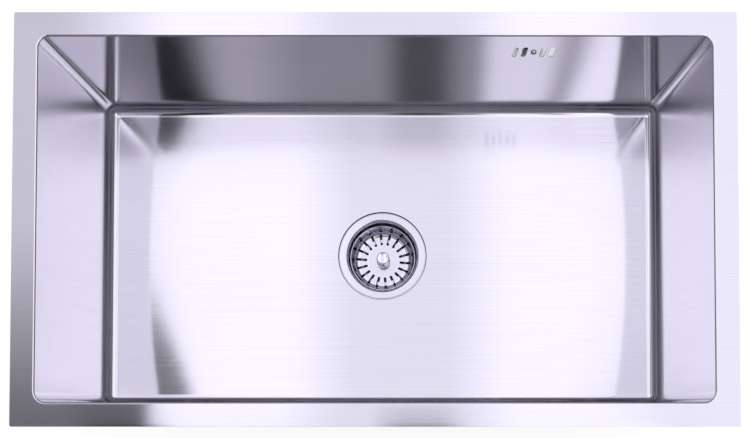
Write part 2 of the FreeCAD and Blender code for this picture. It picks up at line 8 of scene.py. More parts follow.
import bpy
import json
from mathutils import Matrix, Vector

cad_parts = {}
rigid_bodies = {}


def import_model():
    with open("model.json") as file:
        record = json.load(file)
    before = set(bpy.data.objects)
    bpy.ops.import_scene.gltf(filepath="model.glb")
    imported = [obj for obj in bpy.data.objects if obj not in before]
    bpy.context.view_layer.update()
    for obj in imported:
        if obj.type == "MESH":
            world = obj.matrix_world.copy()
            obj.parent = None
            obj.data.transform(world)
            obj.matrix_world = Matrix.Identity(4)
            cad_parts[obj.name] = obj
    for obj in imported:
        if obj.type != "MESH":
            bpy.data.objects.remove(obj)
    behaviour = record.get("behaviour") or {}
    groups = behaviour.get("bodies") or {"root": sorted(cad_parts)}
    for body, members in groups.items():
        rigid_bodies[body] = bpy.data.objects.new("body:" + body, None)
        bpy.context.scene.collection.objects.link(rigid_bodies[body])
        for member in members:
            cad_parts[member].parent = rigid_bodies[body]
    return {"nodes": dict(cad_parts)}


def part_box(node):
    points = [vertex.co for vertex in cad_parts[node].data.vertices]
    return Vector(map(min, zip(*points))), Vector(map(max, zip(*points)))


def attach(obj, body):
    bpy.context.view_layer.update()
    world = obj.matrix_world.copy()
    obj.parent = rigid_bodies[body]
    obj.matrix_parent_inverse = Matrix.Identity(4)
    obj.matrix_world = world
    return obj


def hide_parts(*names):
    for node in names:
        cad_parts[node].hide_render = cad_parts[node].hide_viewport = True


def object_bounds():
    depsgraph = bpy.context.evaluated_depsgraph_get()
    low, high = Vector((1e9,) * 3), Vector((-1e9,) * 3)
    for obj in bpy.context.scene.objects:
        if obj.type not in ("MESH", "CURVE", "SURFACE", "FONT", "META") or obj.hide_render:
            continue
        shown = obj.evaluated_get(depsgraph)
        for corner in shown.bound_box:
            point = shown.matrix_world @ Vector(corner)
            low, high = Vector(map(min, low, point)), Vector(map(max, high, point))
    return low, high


bl_info = {
    "name": "Undermount Kitchen Sink",
    "version": (1, 0, 0),
    "blender": (4, 5, 0),
    "location": "View3D > Sidebar > Sink",
    "description": "Builds the bowl, strainer, waste and overflow of a sink, and its studio",
    "category": "Add Mesh",
}

import json
import math

import bpy
import numpy as np
from bpy.props import FloatProperty, FloatVectorProperty, IntProperty, PointerProperty

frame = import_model()
CAD_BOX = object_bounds()

TURN = 2 * math.pi
WELD = 1e-7               # points nearer than this are one point
SMOOTH_ANGLE = 32.0       # degrees between faces that still shade as one surface
FILM = 0.0001             # glue or primer between the steel and what lies on it
HOUSING_ROOM = 0.014      # left free round the overflow housing by the pads and the coating
SPIGOT_RADIUS = 0.0105    # of the two spigots that carry the hose
SPIGOT_BORE = 0.0085      # the radius of their bore
COLLAR_RADIUS = 0.0135    # of the collar that stops a nut on them
INLET_REACH = 0.086       # from the drain's axis to the end of the inlet's spigot
ORIGIN = np.zeros(3)
X_AXIS, Y_AXIS, Z_AXIS = np.eye(3)


# Sizes and colours that a user may change ------------------------------------------------------

def length(name, description, default):
    """A length property, in metres."""
    return FloatProperty(name=name, description=description, default=default, unit="LENGTH",
                         subtype="DISTANCE", precision=5)


def colour(name, description, default):
    """A colour property, as linear red, green and blue."""
    return FloatVectorProperty(name=name, description=description, default=default, size=3,
                               subtype="COLOR", min=0.0, max=1.0)


class SinkBowlSizes(bpy.types.PropertyGroup):
    """Sizes of the pressed bowl, its pads and its coating."""
    half_length: length("Half length", "Half of the bowl's inside length", 0.350)
    half_width: length("Half width", "Half of the bowl's inside width", 0.190)
    depth: length("Depth", "From the flange's top to the edge of the floor", 0.220)
    corner_radius: length("Corner radius", "Upright corners and floor edges, inside", 0.012)
    flange_width: length("Flange width", "From the bowl's mouth to the flange's edge", 0.025)
    flange_corner: length("Flange corner", "Radius of the flange's outer corners", 0.002)
    lip_bend: length("Lip bend", "Radius from the flange down into the wall", 0.002)
    sheet: length("Sheet", "Thickness of the steel", 0.0012)
    dish_drop: length("Floor's fall", "How far the floor falls to the drain", 0.004)
    seat_drop: length("Recess drop", "Depth of the recess for the strainer", 0.003)
    seat_radius: length("Recess radius", "Foot of the recess's wall", 0.0562)
    hole_radius: length("Drain hole", "Radius of the hole in the floor", 0.046)
    pad_thickness: length("Pad thickness", "Sound pads", 0.003)
    pad_corner: length("Pad corner", "Corner radius of the sound pads", 0.012)
    coating: length("Coating", "Thickness of the sprayed coating", 0.0008)
    coating_top: length("Coating's top", "How far below the flange it starts", 0.014)


class SinkStrainerSizes(bpy.types.PropertyGroup):
    """Sizes of the strainer cup, its basket, its stopper and its bolt."""
    flange_radius: length("Flange radius", "Outside of the strainer's flange", 0.055)
    throat_radius: length("Throat radius", "Where the flange turns down", 0.0480)
    cup_radius: length("Cup radius", "Inside of the cup's wall", 0.0445)
    sheet: length("Sheet", "Thickness of the cup's steel", 0.0008)
    basket_rim: length("Basket rim", "Outside radius of the basket's rolled rim", 0.0426)
    basket_sheet: length("Basket sheet", "Thickness of the basket's steel", 0.0007)
    slot_width: length("Slot width", "Slots in the basket", 0.0034)
    slot_start: length("Slot start", "From the axis to a slot's inner end", 0.0215)
    slot_count: IntProperty(name="Slots", description="Slots round the basket", default=18, min=3)
    slot_bearing: FloatProperty(name="Slot bearing", description="Of the first slot, from +X",
                                default=math.radians(-4.5), unit="ROTATION")
    post_radius: length("Post radius", "Knob in the middle of the basket", 0.0082)


class SinkWasteSizes(bpy.types.PropertyGroup):
    """Sizes of the moulded waste body, the overflow housing and the hose."""
    waste_bore: length("Waste bore", "Inside radius of the waste's chamber", 0.0475)
    waste_wall: length("Waste wall", "Wall of the waste's chamber", 0.003)
    outlet_radius: length("Outlet radius", "Outside of the outlet's thread", 0.0239)
    outlet_wall: length("Outlet wall", "Wall of the outlet", 0.0034)
    outlet_pitch: length("Outlet pitch", "Pitch of the outlet's thread", 0.0022)
    housing_length: length("Housing length", "Overflow housing, along the wall", 0.080)
    housing_height: length("Housing height", "Overflow housing, up the wall", 0.050)
    hose_radius: length("Hose radius", "Over the ribs", 0.0125)
    rib_height: length("Rib height", "Ribs of the hose", 0.0013)
    hose_wall: length("Hose wall", "Wall between the ribs", 0.0016)
    hose_bend: length("Hose bend", "Radius of the hose's bend", 0.046)
    rib_count: IntProperty(name="Ribs", description="Ribs along the hose", default=57, min=3)


class SinkFinishes(bpy.types.PropertyGroup):
    """Colours of the sink's materials."""
    steel: colour("Brushed steel", "Bowl and flange", (0.80, 0.787, 0.835))
    bright: colour("Bright steel", "Strainer, basket and post", (0.82, 0.80, 0.87))
    zinc: colour("Zinc plate", "Bolt and washer", (0.62, 0.61, 0.58))
    coating: colour("Coating", "Sprayed coating under the bowl", (0.115, 0.118, 0.125))
    pad: colour("Sound pad", "Rubber pads", (0.032, 0.032, 0.034))
    white: colour("White plastic", "Waste body, housing and nuts", (0.80, 0.80, 0.79))
    frosted: colour("Frosted plastic", "Overflow housing", (0.93, 0.93, 0.93))
    grey: colour("Grey plastic", "Overflow hose", (0.52, 0.53, 0.55))
    rubber: colour("Seal rubber", "Gaskets and the stopper's seal", (0.022, 0.022, 0.024))
    brass: colour("Brass", "Insert nut", (0.72, 0.52, 0.25))


class SinkStage(bpy.types.PropertyGroup):
    """The studio: floor, sky, lamps and camera."""
    floor: colour("Floor", "Colour of the floor and the sky", (1.0, 1.0, 1.0))
    card: FloatVectorProperty(name="Card", description="Colour of the cards that the steel mirrors",
                              default=(1.0, 0.975, 1.10), size=3)
    fill: FloatProperty(name="Fill", description="Strength of the sky on the object", default=0.85)
    lamp_power: FloatProperty(name="Lamp", description="Power of the overhead lamp", default=30.0,
                              unit="POWER")
    lens: FloatProperty(name="Lens", description="Focal length of the camera", default=41.59,
                        unit="CAMERA", subtype="DISTANCE_CAMERA")


# Surfaces ------------------------------------------------------------------------------------

def grid(points, close_rows=False, close_columns=True):
    """A surface from an array of rows by columns by 3: each four neighbours make a face."""
    rows, columns = points.shape[:2]
    index = np.arange(rows * columns).reshape(rows, columns)
    if close_rows:
        index = np.vstack([index, index[:1]])
    if close_columns:
        index = np.hstack([index, index[:, :1]])
    corners = (index[:-1, :-1], index[1:, :-1], index[1:, 1:], index[:-1, 1:])
    return points.reshape(-1, 3), np.stack([c.ravel() for c in corners], axis=1)


def together(*surfaces):
    """Several surfaces as one."""
    starts = np.cumsum([0] + [len(points) for points, _ in surfaces[:-1]])
    faces = [faces + start for (_, faces), start in zip(surfaces, starts)]
    return np.concatenate([points for points, _ in surfaces]), np.concatenate(faces)


def arc(middle, radius, start, end, count):
    """Points on an arc from the angle start to the angle end, in degrees, as count rows of two."""
    angles = np.radians(np.linspace(start, end, count))
    return np.array(middle) + radius * np.stack([np.cos(angles), np.sin(angles)], axis=1)


def rounded(corners, steps=6):
    """A closed outline of (x, y, radius) corners, each replaced by an arc of that radius.

    An arc starts and ends radius / tan(half the inside angle) from its corner, along both sides.
    """
    corners = np.array(corners, float)
    points, radii = corners[:, :2], corners[:, 2]
    run = []
    for here, before, after, radius in zip(points, np.roll(points, 1, 0), np.roll(points, -1, 0),
                                           radii):
        if radius <= 0:
            run.append(here[None])
            continue
        to_before = (before - here) / np.linalg.norm(before - here)
        to_after = (after - here) / np.linalg.norm(after - here)
        half = math.acos(np.clip(to_before @ to_after, -1, 1)) / 2
        bisector = to_before + to_after
        centre = here + bisector / np.linalg.norm(bisector) * radius / math.sin(half)
        first = here + to_before * radius / math.tan(half) - centre
        last = here + to_after * radius / math.tan(half) - centre
        share = np.linspace(0, 1, steps)[:, None]
        whole = math.pi - 2 * half
        weights = np.sin((1 - share) * whole), np.sin(share * whole)
        run.append(centre + (first * weights[0] + last * weights[1]) / math.sin(whole))
    return np.concatenate(run)


def rod(radius, low, high, low_edge=0.0, high_edge=0.0, steps=5):
    """The outline of a solid rod, as (radius, height), with its two edges rounded."""
    return rounded([(0, low, 0), (radius, low, low_edge), (radius, high, high_edge),
                    (0, high, 0)], steps)


def spoke_at(bearing):
    """Unit vectors in plan: out from the drain's axis at the bearing, and square to it."""
    spoke = np.array([math.cos(bearing), math.sin(bearing), 0.0])
    return spoke, np.cross(Z_AXIS, spoke)


def filled(profile, gap):
    """The closed outline with its longer sides cut into steps of gap at most."""
    ends = np.roll(profile, -1, 0)
    counts = np.maximum(1, np.ceil(np.linalg.norm(ends - profile, axis=1) / gap)).astype(int)
    return np.concatenate([start + (end - start) * np.arange(count)[:, None] / count
                           for start, end, count in zip(profile, ends, counts)])


def turned(profile, count=128, centre=ORIGIN, axis=Z_AXIS, side=X_AXIS):
    """A closed profile turned once about an axis through centre.

    It is rows of (radius, height), or rows by columns of them where they differ round the axis.
    """
    if profile.ndim == 2:
        profile = np.repeat(profile[:, None], count, axis=1)
    angles = np.arange(profile.shape[1]) * TURN / profile.shape[1]
    spokes = np.cos(angles)[:, None] * side + np.sin(angles)[:, None] * np.cross(axis, side)
    points = profile[:, :, :1] * spokes[None] + profile[:, :, 1:] * axis
    return grid(points + centre, close_rows=True)


def threaded(radius, low, high, pitch, depth, count):
    """Rows of (radius, height) down a screw thread, from high to low.

    The radius falls by depth times a smooth wave of height over pitch plus angle over a turn, and
    the wave fades out over a pitch at each end.
    """
    heights = np.linspace(high, low, max(4, int(10 * (high - low) / pitch)))
    angles = np.arange(count) / count
    phase = (heights[:, None] / pitch + angles[None]) % 1.0
    wave = smooth_step(1 - np.abs(2 * phase - 1) * 1.25 + 0.1)
    ends = np.minimum(high - heights, heights - low) / pitch
    radii = radius - depth * wave * smooth_step(ends)[:, None]
    return np.stack([radii, np.repeat(heights[:, None], count, 1)], axis=2)


def full_rows(profile, count):
    """Rows of (radius, height) repeated round the axis."""
    return np.repeat(profile[:, None], count, axis=1)


def smooth_step(t):
    """From 0 to 1 with level ends."""
    t = np.clip(t, 0, 1)
    return t * t * (3 - 2 * t)


def rounded_ring(half_x, half_y, radius, sides=(12, 12), corner=8):
    """Points round a rounded rectangle, as (count, 2), evenly spaced on each side and corner."""
    straight_x, straight_y = half_x - radius, half_y - radius
    quarter = np.radians(np.linspace(0, 90, corner, endpoint=False))
    run = []
    for k in range(4):
        sign = ((1, 1), (-1, 1), (-1, -1), (1, -1))[k]
        angles = quarter + k * math.pi / 2
        run.append(np.stack([sign[0] * straight_x + radius * np.cos(angles),
                             sign[1] * straight_y + radius * np.sin(angles)], axis=1))
        share = np.linspace(1, -1, sides[k % 2], endpoint=False)[:, None]
        if k % 2 == 0:
            run.append(np.hstack([sign[0] * share * straight_x, 0 * share + sign[1] * half_y]))
        else:
            run.append(np.hstack([0 * share + sign[0] * half_x, sign[1] * share * straight_y]))
    return np.concatenate(run)


def slab(half_x, half_y, corner, edge, low, high, place, sides=(12, 12), rings=6):
    """A rounded slab: rings of one rounded rectangle, small in the middle and whole at the edge.

    place turns plan points (count, 2) and a height for each into points (count, 3). The top and
    the bottom meet in a quarter arc of the radius edge.
    """
    bend = np.radians(np.linspace(90, 0, 5))
    inset = np.concatenate([np.linspace(1, 0, rings, endpoint=False) * min(half_x, half_y),
                            edge * (1 - np.cos(bend))])
    inset[:rings] = np.maximum(inset[:rings], edge)
    height = np.concatenate([np.full(rings, high), high - edge * (1 - np.sin(bend))])
    inset = np.concatenate([inset, inset[::-1]])
    height = np.concatenate([height, low + high - height[::-1]])
    plan = []
    for cut in inset:
        plan.append(rounded_ring(half_x - cut, half_y - cut, max(corner - cut, 0.0), sides))
    rows = [place(ring, np.full(len(ring), z)) for ring, z in zip(plan, height)]
    return grid(np.array(rows))


def carried(profile, points, headings, side):
    """A profile of (radius, station) rings carried along a path, square to its headings.

    points and headings are the path's place and direction at each row. Each ring starts along
    side, which is the same all the way, and profile is its radius in each row.
    """
    up = np.cross(headings, side)
    angles = np.arange(profile.shape[1]) * TURN / profile.shape[1]
    spokes = np.cos(angles)[None, :, None] * side + np.sin(angles)[None, :, None] * up[:, None]
    return grid(points[:, None] + profile[:, :, None] * spokes, close_rows=True)


# Pieces --------------------------------------------------------------------------------------

def welded(surface):
    """Joins points that coincide, and drops what folds away: (points, quads, triangles)."""
    points, faces = surface
    keys = np.round(points / WELD).astype(np.int64)
    _, first, index = np.unique(keys, axis=0, return_index=True, return_inverse=True)
    faces = index.reshape(-1)[faces]
    same = faces == np.roll(faces, -1, axis=1)
    quads = faces[same.sum(axis=1) == 0]
    folded = faces[same.sum(axis=1) == 1]
    keep = (np.argmax(same[same.sum(axis=1) == 1], axis=1)[:, None] + np.array([1, 2, 3])) % 4
    triangles = folded[np.arange(len(folded))[:, None], keep]
    return points[first], quads, triangles


def enclosed(points, faces):
    """The volume inside faces, from the triple products of their corners."""
    a, b, c = (points[faces[:, k]] for k in range(3))
    return np.einsum("ij,ij->i", a, np.cross(b, c)).sum() / 6


def mesh_of(name, surface):
    """A mesh from a closed surface, with its faces turned outwards."""
    points, quads, triangles = welded(surface)
    halves = np.concatenate([quads[:, :3], quads[:, [0, 2, 3]], triangles])
    if enclosed(points, halves) < 0:
        quads, triangles = quads[:, ::-1], triangles[:, ::-1]
    mesh = bpy.data.meshes.new(name)
    mesh.from_pydata(points, [], quads.tolist() + triangles.tolist())
    mesh.validate()
    return mesh


def object_of(name, surface):
    """A new object at the origin, with the surface in its mesh."""
    piece = bpy.data.objects.new(name, mesh_of(name, surface))
    bpy.context.scene.collection.objects.link(piece)
    return piece


def joined(piece, surface, operation):
    """The piece with a closed surface cut from it, or added to it."""
    tool = object_of(piece.name + "_tool", surface)
    step = piece.modifiers.new("step", "BOOLEAN")
    step.solver = "EXACT"
    step.operation = operation
    step.object = tool
    depsgraph = bpy.context.evaluated_depsgraph_get()
    mesh = bpy.data.meshes.new_from_object(piece.evaluated_get(depsgraph))
    if not mesh.polygons:
        raise RuntimeError("nothing is left of " + piece.name)
    piece.modifiers.clear()
    old, piece.data = piece.data, mesh
    mesh.name = piece.name
    for data, store in ((tool, bpy.data.objects), (old, bpy.data.meshes)):
        store.remove(data)


def finished(piece, material, body, slot, *nodes):
    """Smooths the piece, gives it its finish, puts it on its body, and hides the imported nodes
    that it stands for.
    """
    mesh = piece.data
    mesh.materials.clear()
    mesh.materials.append(material)
    mesh.polygons.foreach_set("use_smooth", np.ones(len(mesh.polygons), bool))
    mesh.set_sharp_from_angle(angle=math.radians(SMOOTH_ANGLE))
    shade = piece.modifiers.new("Weighted normals", "WEIGHTED_NORMAL")
    shade.keep_sharp = True
    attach(piece, body)
    if nodes:
        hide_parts(*nodes)


def repaint(node, material):
    """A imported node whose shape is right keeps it, and gets a fuller material."""
    for place in frame["nodes"][node].material_slots:
        place.material = material


# Materials -----------------------------------------------------------------------------------

class Paint:
    """A material under construction: its node tree, and short ways to add and link nodes."""

    def __init__(self, name):
        self.material = bpy.data.materials.new(name)
        self.material.use_nodes = True
        self.tree = self.material.node_tree
        self.shader = self.tree.nodes["Principled BSDF"]

    def add(self, kind, settings=None, **inputs):
        """A node of this kind. An input is a value or another node's output."""
        node = self.tree.nodes.new("ShaderNode" + kind)
        for key, value in (settings or {}).items():
            setattr(node, key, value)
        for key, value in inputs.items():
            socket = node.inputs[int(key[1:])] if key[0] == "_" else node.inputs[key]
            self.set(socket, value)
        return node

    def set(self, socket, value):
        """Links an output to the socket, or sets its own value."""
        if isinstance(value, bpy.types.NodeSocket):
            self.tree.links.new(value, socket)
        else:
            socket.default_value = value

    def base(self, **values):
        """Sets or links the shader's inputs, with spaces written as underscores."""
        for key, value in values.items():
            self.set(self.shader.inputs[key.replace("_", " ")], value)

    def vector(self, operation, a, b=None):
        """A vector sum, product, cross product and so on."""
        node = self.add("VectorMath", {"operation": operation}, _0=a)
        if b is not None:
            self.set(node.inputs[1], b)
        return node.outputs[1 if operation == "LENGTH" else 0]

    def number(self, operation, a, b=0.0):
        """A sum, product and so on of two numbers."""
        return self.add("Math", {"operation": operation}, _0=a, _1=b).outputs[0]

    def place(self, scale=(1, 1, 1)):
        """The point on the piece, stretched by scale."""
        where = self.add("TexCoord").outputs["Object"]
        return self.add("Mapping", Vector=where, Scale=scale).outputs[0]

    def noise(self, at, scale, detail):
        """A noise value, mostly between 0.3 and 0.7."""
        return self.add("TexNoise", Vector=at, Scale=scale, Detail=detail,
                        Roughness=0.6).outputs["Fac"]

    def range(self, value, from_low, from_high, low, high):
        """A value moved from one range to another, and held inside it."""
        node = self.add("MapRange", Value=value)
        for socket, limit in zip(node.inputs[1:5], (from_low, from_high, low, high)):
            self.set(socket, limit)
        return node.outputs[0]

    def tint(self, factor, low, high):
        """A colour between low and high."""
        node = self.add("Mix", {"data_type": "RGBA"})
        self.set(node.inputs[0], factor)
        self.set(node.inputs[6], (*low, 1))
        self.set(node.inputs[7], (*high, 1))
        return node.outputs[2]

    def bump(self, height, strength, distance):
        """A normal bent by a height."""
        return self.add("Bump", Height=height, Strength=strength, Distance=distance).outputs[0]


def shaded(rgb, factor):
    """The colour made lighter or darker."""
    return tuple(min(1.0, channel * factor) for channel in rgb)


def brushed_steel(name, rgb):
    """Sheet steel brushed along its length, and up and down on the two end walls.

    The brush runs along normal x Y, leant a little to X so that it is never nought; the shine
    spreads square to it. Scratches are noise stretched along the brush.
    """
    paint = Paint(name)
    fine, coarse = 900, 3       # how finely the scratches lie across the brush, and along it
    normal = paint.add("NewGeometry").outputs["Normal"]
    brush = paint.vector("ADD", paint.vector("CROSS_PRODUCT", normal, (0, 1, 0)), (-0.05, 0, 0))
    spread = paint.vector("CROSS_PRODUCT", normal, paint.vector("NORMALIZE", brush))
    across = paint.add("SeparateXYZ", Vector=normal).outputs[0]
    end_wall = paint.range(paint.number("ABSOLUTE", across), 0.5, 0.8, 0.0, 1.0)
    along = paint.noise(paint.place((coarse, fine, fine)), 1.0, 3.0)
    upright = paint.noise(paint.place((fine, fine, coarse)), 1.0, 3.0)
    scratch = paint.add("Mix", {"data_type": "FLOAT"}, _0=end_wall, _2=along, _3=upright).outputs[0]
    clouds = paint.noise(paint.place((3, 5, 5)), 1.0, 2.0)
    both = paint.number("ADD", paint.number("MULTIPLY", scratch, 0.75),
                        paint.number("MULTIPLY", clouds, 0.25))
    level = paint.range(both, 0.3, 0.7, 0.0, 1.0)
    rough = paint.number("ADD", paint.range(both, 0.3, 0.7, 0.08, 0.13),
                         paint.number("MULTIPLY", end_wall, 0.08))
    paint.base(Base_Color=paint.tint(level, shaded(rgb, 0.95), shaded(rgb, 1.05)),
               Metallic=1.0, Anisotropic=0.9, Tangent=spread, Roughness=rough,
               Normal=paint.bump(scratch, 0.05, 0.0002))
    return paint.material


def turned_steel(name, rgb, roughness=0.16, anisotropic=0.6):
    """Bright steel polished on a spindle: the shine spreads out from the drain's axis."""
    paint = Paint(name)
    fine = 1800.0
    where = paint.place()
    spoke = paint.vector("NORMALIZE", paint.vector("MULTIPLY", where, (1, 1, 0)))
    radius = paint.vector("LENGTH", paint.vector("MULTIPLY", where, (1, 1, 0)))
    height = paint.add("SeparateXYZ", Vector=where).outputs[2]
    rings = paint.add("CombineXYZ", X=paint.number("MULTIPLY", radius, fine),
                      Y=paint.number("MULTIPLY", height, fine)).outputs[0]
    scratch = paint.noise(rings, 1.0, 3.0)
    spots = paint.noise(where, 220.0, 3.0)
    level = paint.number("ADD", paint.number("MULTIPLY", scratch, 0.6),
                         paint.number("MULTIPLY", spots, 0.4))
    paint.base(Base_Color=paint.tint(paint.range(level, 0.3, 0.7, 0, 1), shaded(rgb, 0.94),
                                     shaded(rgb, 1.04)),
               Metallic=1.0, Anisotropic=anisotropic, Tangent=spoke,
               Roughness=paint.range(level, 0.3, 0.7, roughness * 0.8, roughness * 1.25),
               Normal=paint.bump(scratch, 0.03, 0.0001))
    return paint.material


def moulded_plastic(name, rgb, gloss=0.32, clear=0.0):
    """Moulded plastic: a faint orange peel, slight clouding, and a soft waxy depth.

    clear is the share of the light that passes through, as in thin frosted mouldings.
    """
    paint = Paint(name)
    peel = paint.noise(paint.place(), 900.0, 2.0)
    clouds = paint.noise(paint.place(), 30.0, 3.0)
    paint.base(Base_Color=paint.tint(paint.range(clouds, 0.3, 0.7, 0, 1), shaded(rgb, 0.94),
                                     shaded(rgb, 1.02)),
               Roughness=paint.range(clouds, 0.3, 0.7, gloss * 0.85, gloss * 1.2),
               Subsurface_Weight=0.08, Subsurface_Scale=0.002, Specular_IOR_Level=0.5,
               Transmission_Weight=clear,
               Normal=paint.bump(peel, 0.08, 0.0002))
    return paint.material


def soft_rubber(name, rgb, grain, relief, roughness):
    """Rubber: matt, with a fine grain and a little dust in it."""
    paint = Paint(name)
    fine = paint.noise(paint.place(), grain, 4.0)
    dust = paint.noise(paint.place(), 40.0, 5.0)
    paint.base(Base_Color=paint.tint(paint.range(dust, 0.4, 0.75, 0, 1), rgb, shaded(rgb, 1.7)),
               Roughness=paint.range(fine, 0.3, 0.7, roughness * 0.9, min(1.0, roughness * 1.2)),
               Specular_IOR_Level=0.35, Normal=paint.bump(fine, 0.35, relief))
    return paint.material


def sprayed_coating(name, rgb):
    """Thick sprayed coating: round droplets that ran together, over a slow unevenness."""
    paint = Paint(name)
    drops = paint.add("TexVoronoi", {"feature": "SMOOTH_F1"}, Vector=paint.place(), Scale=420.0,
                      Smoothness=0.7).outputs["Distance"]
    slow = paint.noise(paint.place(), 60.0, 4.0)
    height = paint.number("ADD", paint.number("MULTIPLY", drops, -0.8), slow)
    paint.base(Base_Color=paint.tint(paint.range(slow, 0.35, 0.7, 0, 1), shaded(rgb, 0.8),
                                     shaded(rgb, 1.25)),
               Roughness=paint.range(drops, 0.0, 0.6, 0.72, 0.55), Specular_IOR_Level=0.3,
               Normal=paint.bump(height, 0.5, 0.0006))
    return paint.material


def plated_metal(name, rgb, roughness):
    """Plated or cast metal with fine mottling."""
    paint = Paint(name)
    mottle = paint.noise(paint.place(), 350.0, 5.0)
    paint.base(Base_Color=paint.tint(paint.range(mottle, 0.3, 0.7, 0, 1), shaded(rgb, 0.85),
                                     shaded(rgb, 1.1)),
               Metallic=1.0, Roughness=paint.range(mottle, 0.3, 0.7, roughness * 0.8,
                                                   roughness * 1.3),
               Normal=paint.bump(mottle, 0.06, 0.0001))
    return paint.material


def finishes():
    """Every material of the sink, by name, made once."""
    wanted = bpy.context.scene.sink_finishes
    makers = {
        "brushed steel": (brushed_steel, wanted.steel),
        "turned steel": (turned_steel, wanted.bright),
        "basket steel": (turned_steel, wanted.bright, 0.12, 0.4),
        "zinc plate": (plated_metal, wanted.zinc, 0.34),
        "sprayed coating": (sprayed_coating, wanted.coating),
        "sound pad": (soft_rubber, wanted.pad, 500.0, 0.0005, 0.7),
        "white plastic": (moulded_plastic, wanted.white),
        "frosted plastic": (moulded_plastic, wanted.frosted, 0.4, 0.9),
        "grey plastic": (moulded_plastic, wanted.grey, 0.4),
        "seal rubber": (soft_rubber, wanted.rubber, 1500.0, 0.0001, 0.5),
        "brass": (plated_metal, wanted.brass, 0.28),
    }
    return {name: bpy.data.materials.get(name) or make(name, *given)
            for name, (make, *given) in makers.items()}


# The bowl ------------------------------------------------------------------------------------

BOWL_SIDES, BOWL_CORNER = (72, 40), 12      # grid columns on the long and short sides, and a corner


def floor_height(bowl, x, y, offset=0.0):
    """The floor's height: level, less the fall times (1 - u^4) (1 - 0.75 v^2 - 0.25 v^4)."""
    u = np.clip(np.abs(x) / (bowl.half_length - bowl.corner_radius), 0, 1)
    v = np.clip(np.abs(y) / (bowl.half_width - bowl.corner_radius), 0, 1)
    fall = bowl.dish_drop * (1 - u ** 4) * (1 - 0.75 * v ** 2 - 0.25 * v ** 4)
    return -(bowl.depth + offset) - fall


def bowl_rows(bowl, offset, top, stop=None):
    """One face of the bowl as rows of points, from its top edge to the drain's hole.

    offset is how far the face lies outside the bowl's inside. The wall is a rounded rectangle,
    the floor's edge a quarter ball and cylinder, and the floor a morph from a rectangle to a
    circle, at the height of floor_height; the recess is a smooth step in the distance from the
    drain. top gives the rows above the wall, as (half x, half y, corner radius, height). The rows
    end at a circle of the radius stop, where that is given.
    """
    half_x, half_y = bowl.half_length + offset, bowl.half_width + offset
    radius = bowl.corner_radius + offset
    level = -(bowl.depth + offset)
    rows = list(top)
    wall_top = rows[-1][3]
    rows += [(half_x, half_y, radius, z) for z in np.linspace(wall_top, level + radius, 10)[1:-1]]
    for angle in np.radians(np.linspace(0, 90, 13)):
        drawn = radius * (1 - math.cos(angle))
        rows.append((half_x - drawn, half_y - drawn, radius - drawn,
                     level + radius * (1 - math.sin(angle))))
    ring = [rounded_ring(x, y, r, BOWL_SIDES, BOWL_CORNER) for x, y, r, _ in rows]
    rings = [np.hstack([xy, np.full((len(xy), 1), row[3])]) for xy, row in zip(ring, rows)]
    edge = ring[-1]
    loose = rounded_ring(half_x - radius, half_y - radius, 0.06, BOWL_SIDES, BOWL_CORNER)
    bearing = np.arctan2(loose[:, 1], loose[:, 0])
    circle = np.stack([np.cos(bearing), np.sin(bearing)], axis=1)
    lean = 0.62 * offset
    foot, lip = bowl.seat_radius - 0.0002 + lean, bowl.seat_radius + 0.0008 + lean
    share = np.sin(np.linspace(0, math.pi / 2, 34))[1:, None, None]
    plan = [edge * (1 - s) + circle * (stop or lip + 0.004) * s for s in share]
    if not stop:
        radii = np.concatenate([np.linspace(lip + 0.002, foot, 13), [foot - 0.004],
                                np.linspace(foot - 0.008, bowl.hole_radius, 4)])
        plan += [circle * r for r in radii]
    seat = -(bowl.depth + bowl.dish_drop + bowl.seat_drop) - offset
    for xy in plan:
        away = np.linalg.norm(xy, axis=1)
        blend = smooth_step((away - foot) / (lip - foot))
        z = floor_height(bowl, xy[:, 0], xy[:, 1], offset) * blend + seat * (1 - blend)
        rings.append(np.hstack([xy, z[:, None]]))
    return np.array(rings)


def bowl_surface(bowl):
    """The steel: its upper face from the flange's edge to the drain, and its underside back."""
    edge = 0.0002
    out_x, out_y = bowl.half_length + bowl.flange_width, bowl.half_width + bowl.flange_width

    def flange(offset, bend, flat):
        inner = bend + offset
        curve = np.radians(np.linspace(0, 90, 9))
        share = np.linspace(0, 1, 6)[1:-1]
        near = (bowl.half_length + inner, bowl.half_width + inner, bowl.corner_radius + inner)
        far = (out_x - edge, out_y - edge, bowl.flange_corner - edge)
        rows = [(out_x, out_y, bowl.flange_corner, flat + (edge if offset else -edge)),
                (out_x - 0.3 * edge, out_y - 0.3 * edge, bowl.flange_corner - 0.3 * edge,
                 flat + (0.3 * edge if offset else -0.3 * edge)), (*far, flat)]
        rows += [tuple(f + (n - f) * s for f, n in zip(far, near)) + (flat,) for s in share]
        for angle in curve:
            drawn = bend * math.sin(angle)
            rows.append((near[0] - drawn, near[1] - drawn, near[2] - drawn,
                         flat - bend * (1 - math.cos(angle))))
        return rows

    above = bowl_rows(bowl, 0.0, flange(0.0, bowl.lip_bend, 0.0))
    below = bowl_rows(bowl, bowl.sheet, flange(bowl.sheet, bowl.lip_bend - bowl.sheet, -bowl.sheet))
    return grid(np.concatenate([above, below[::-1]]), close_rows=True)


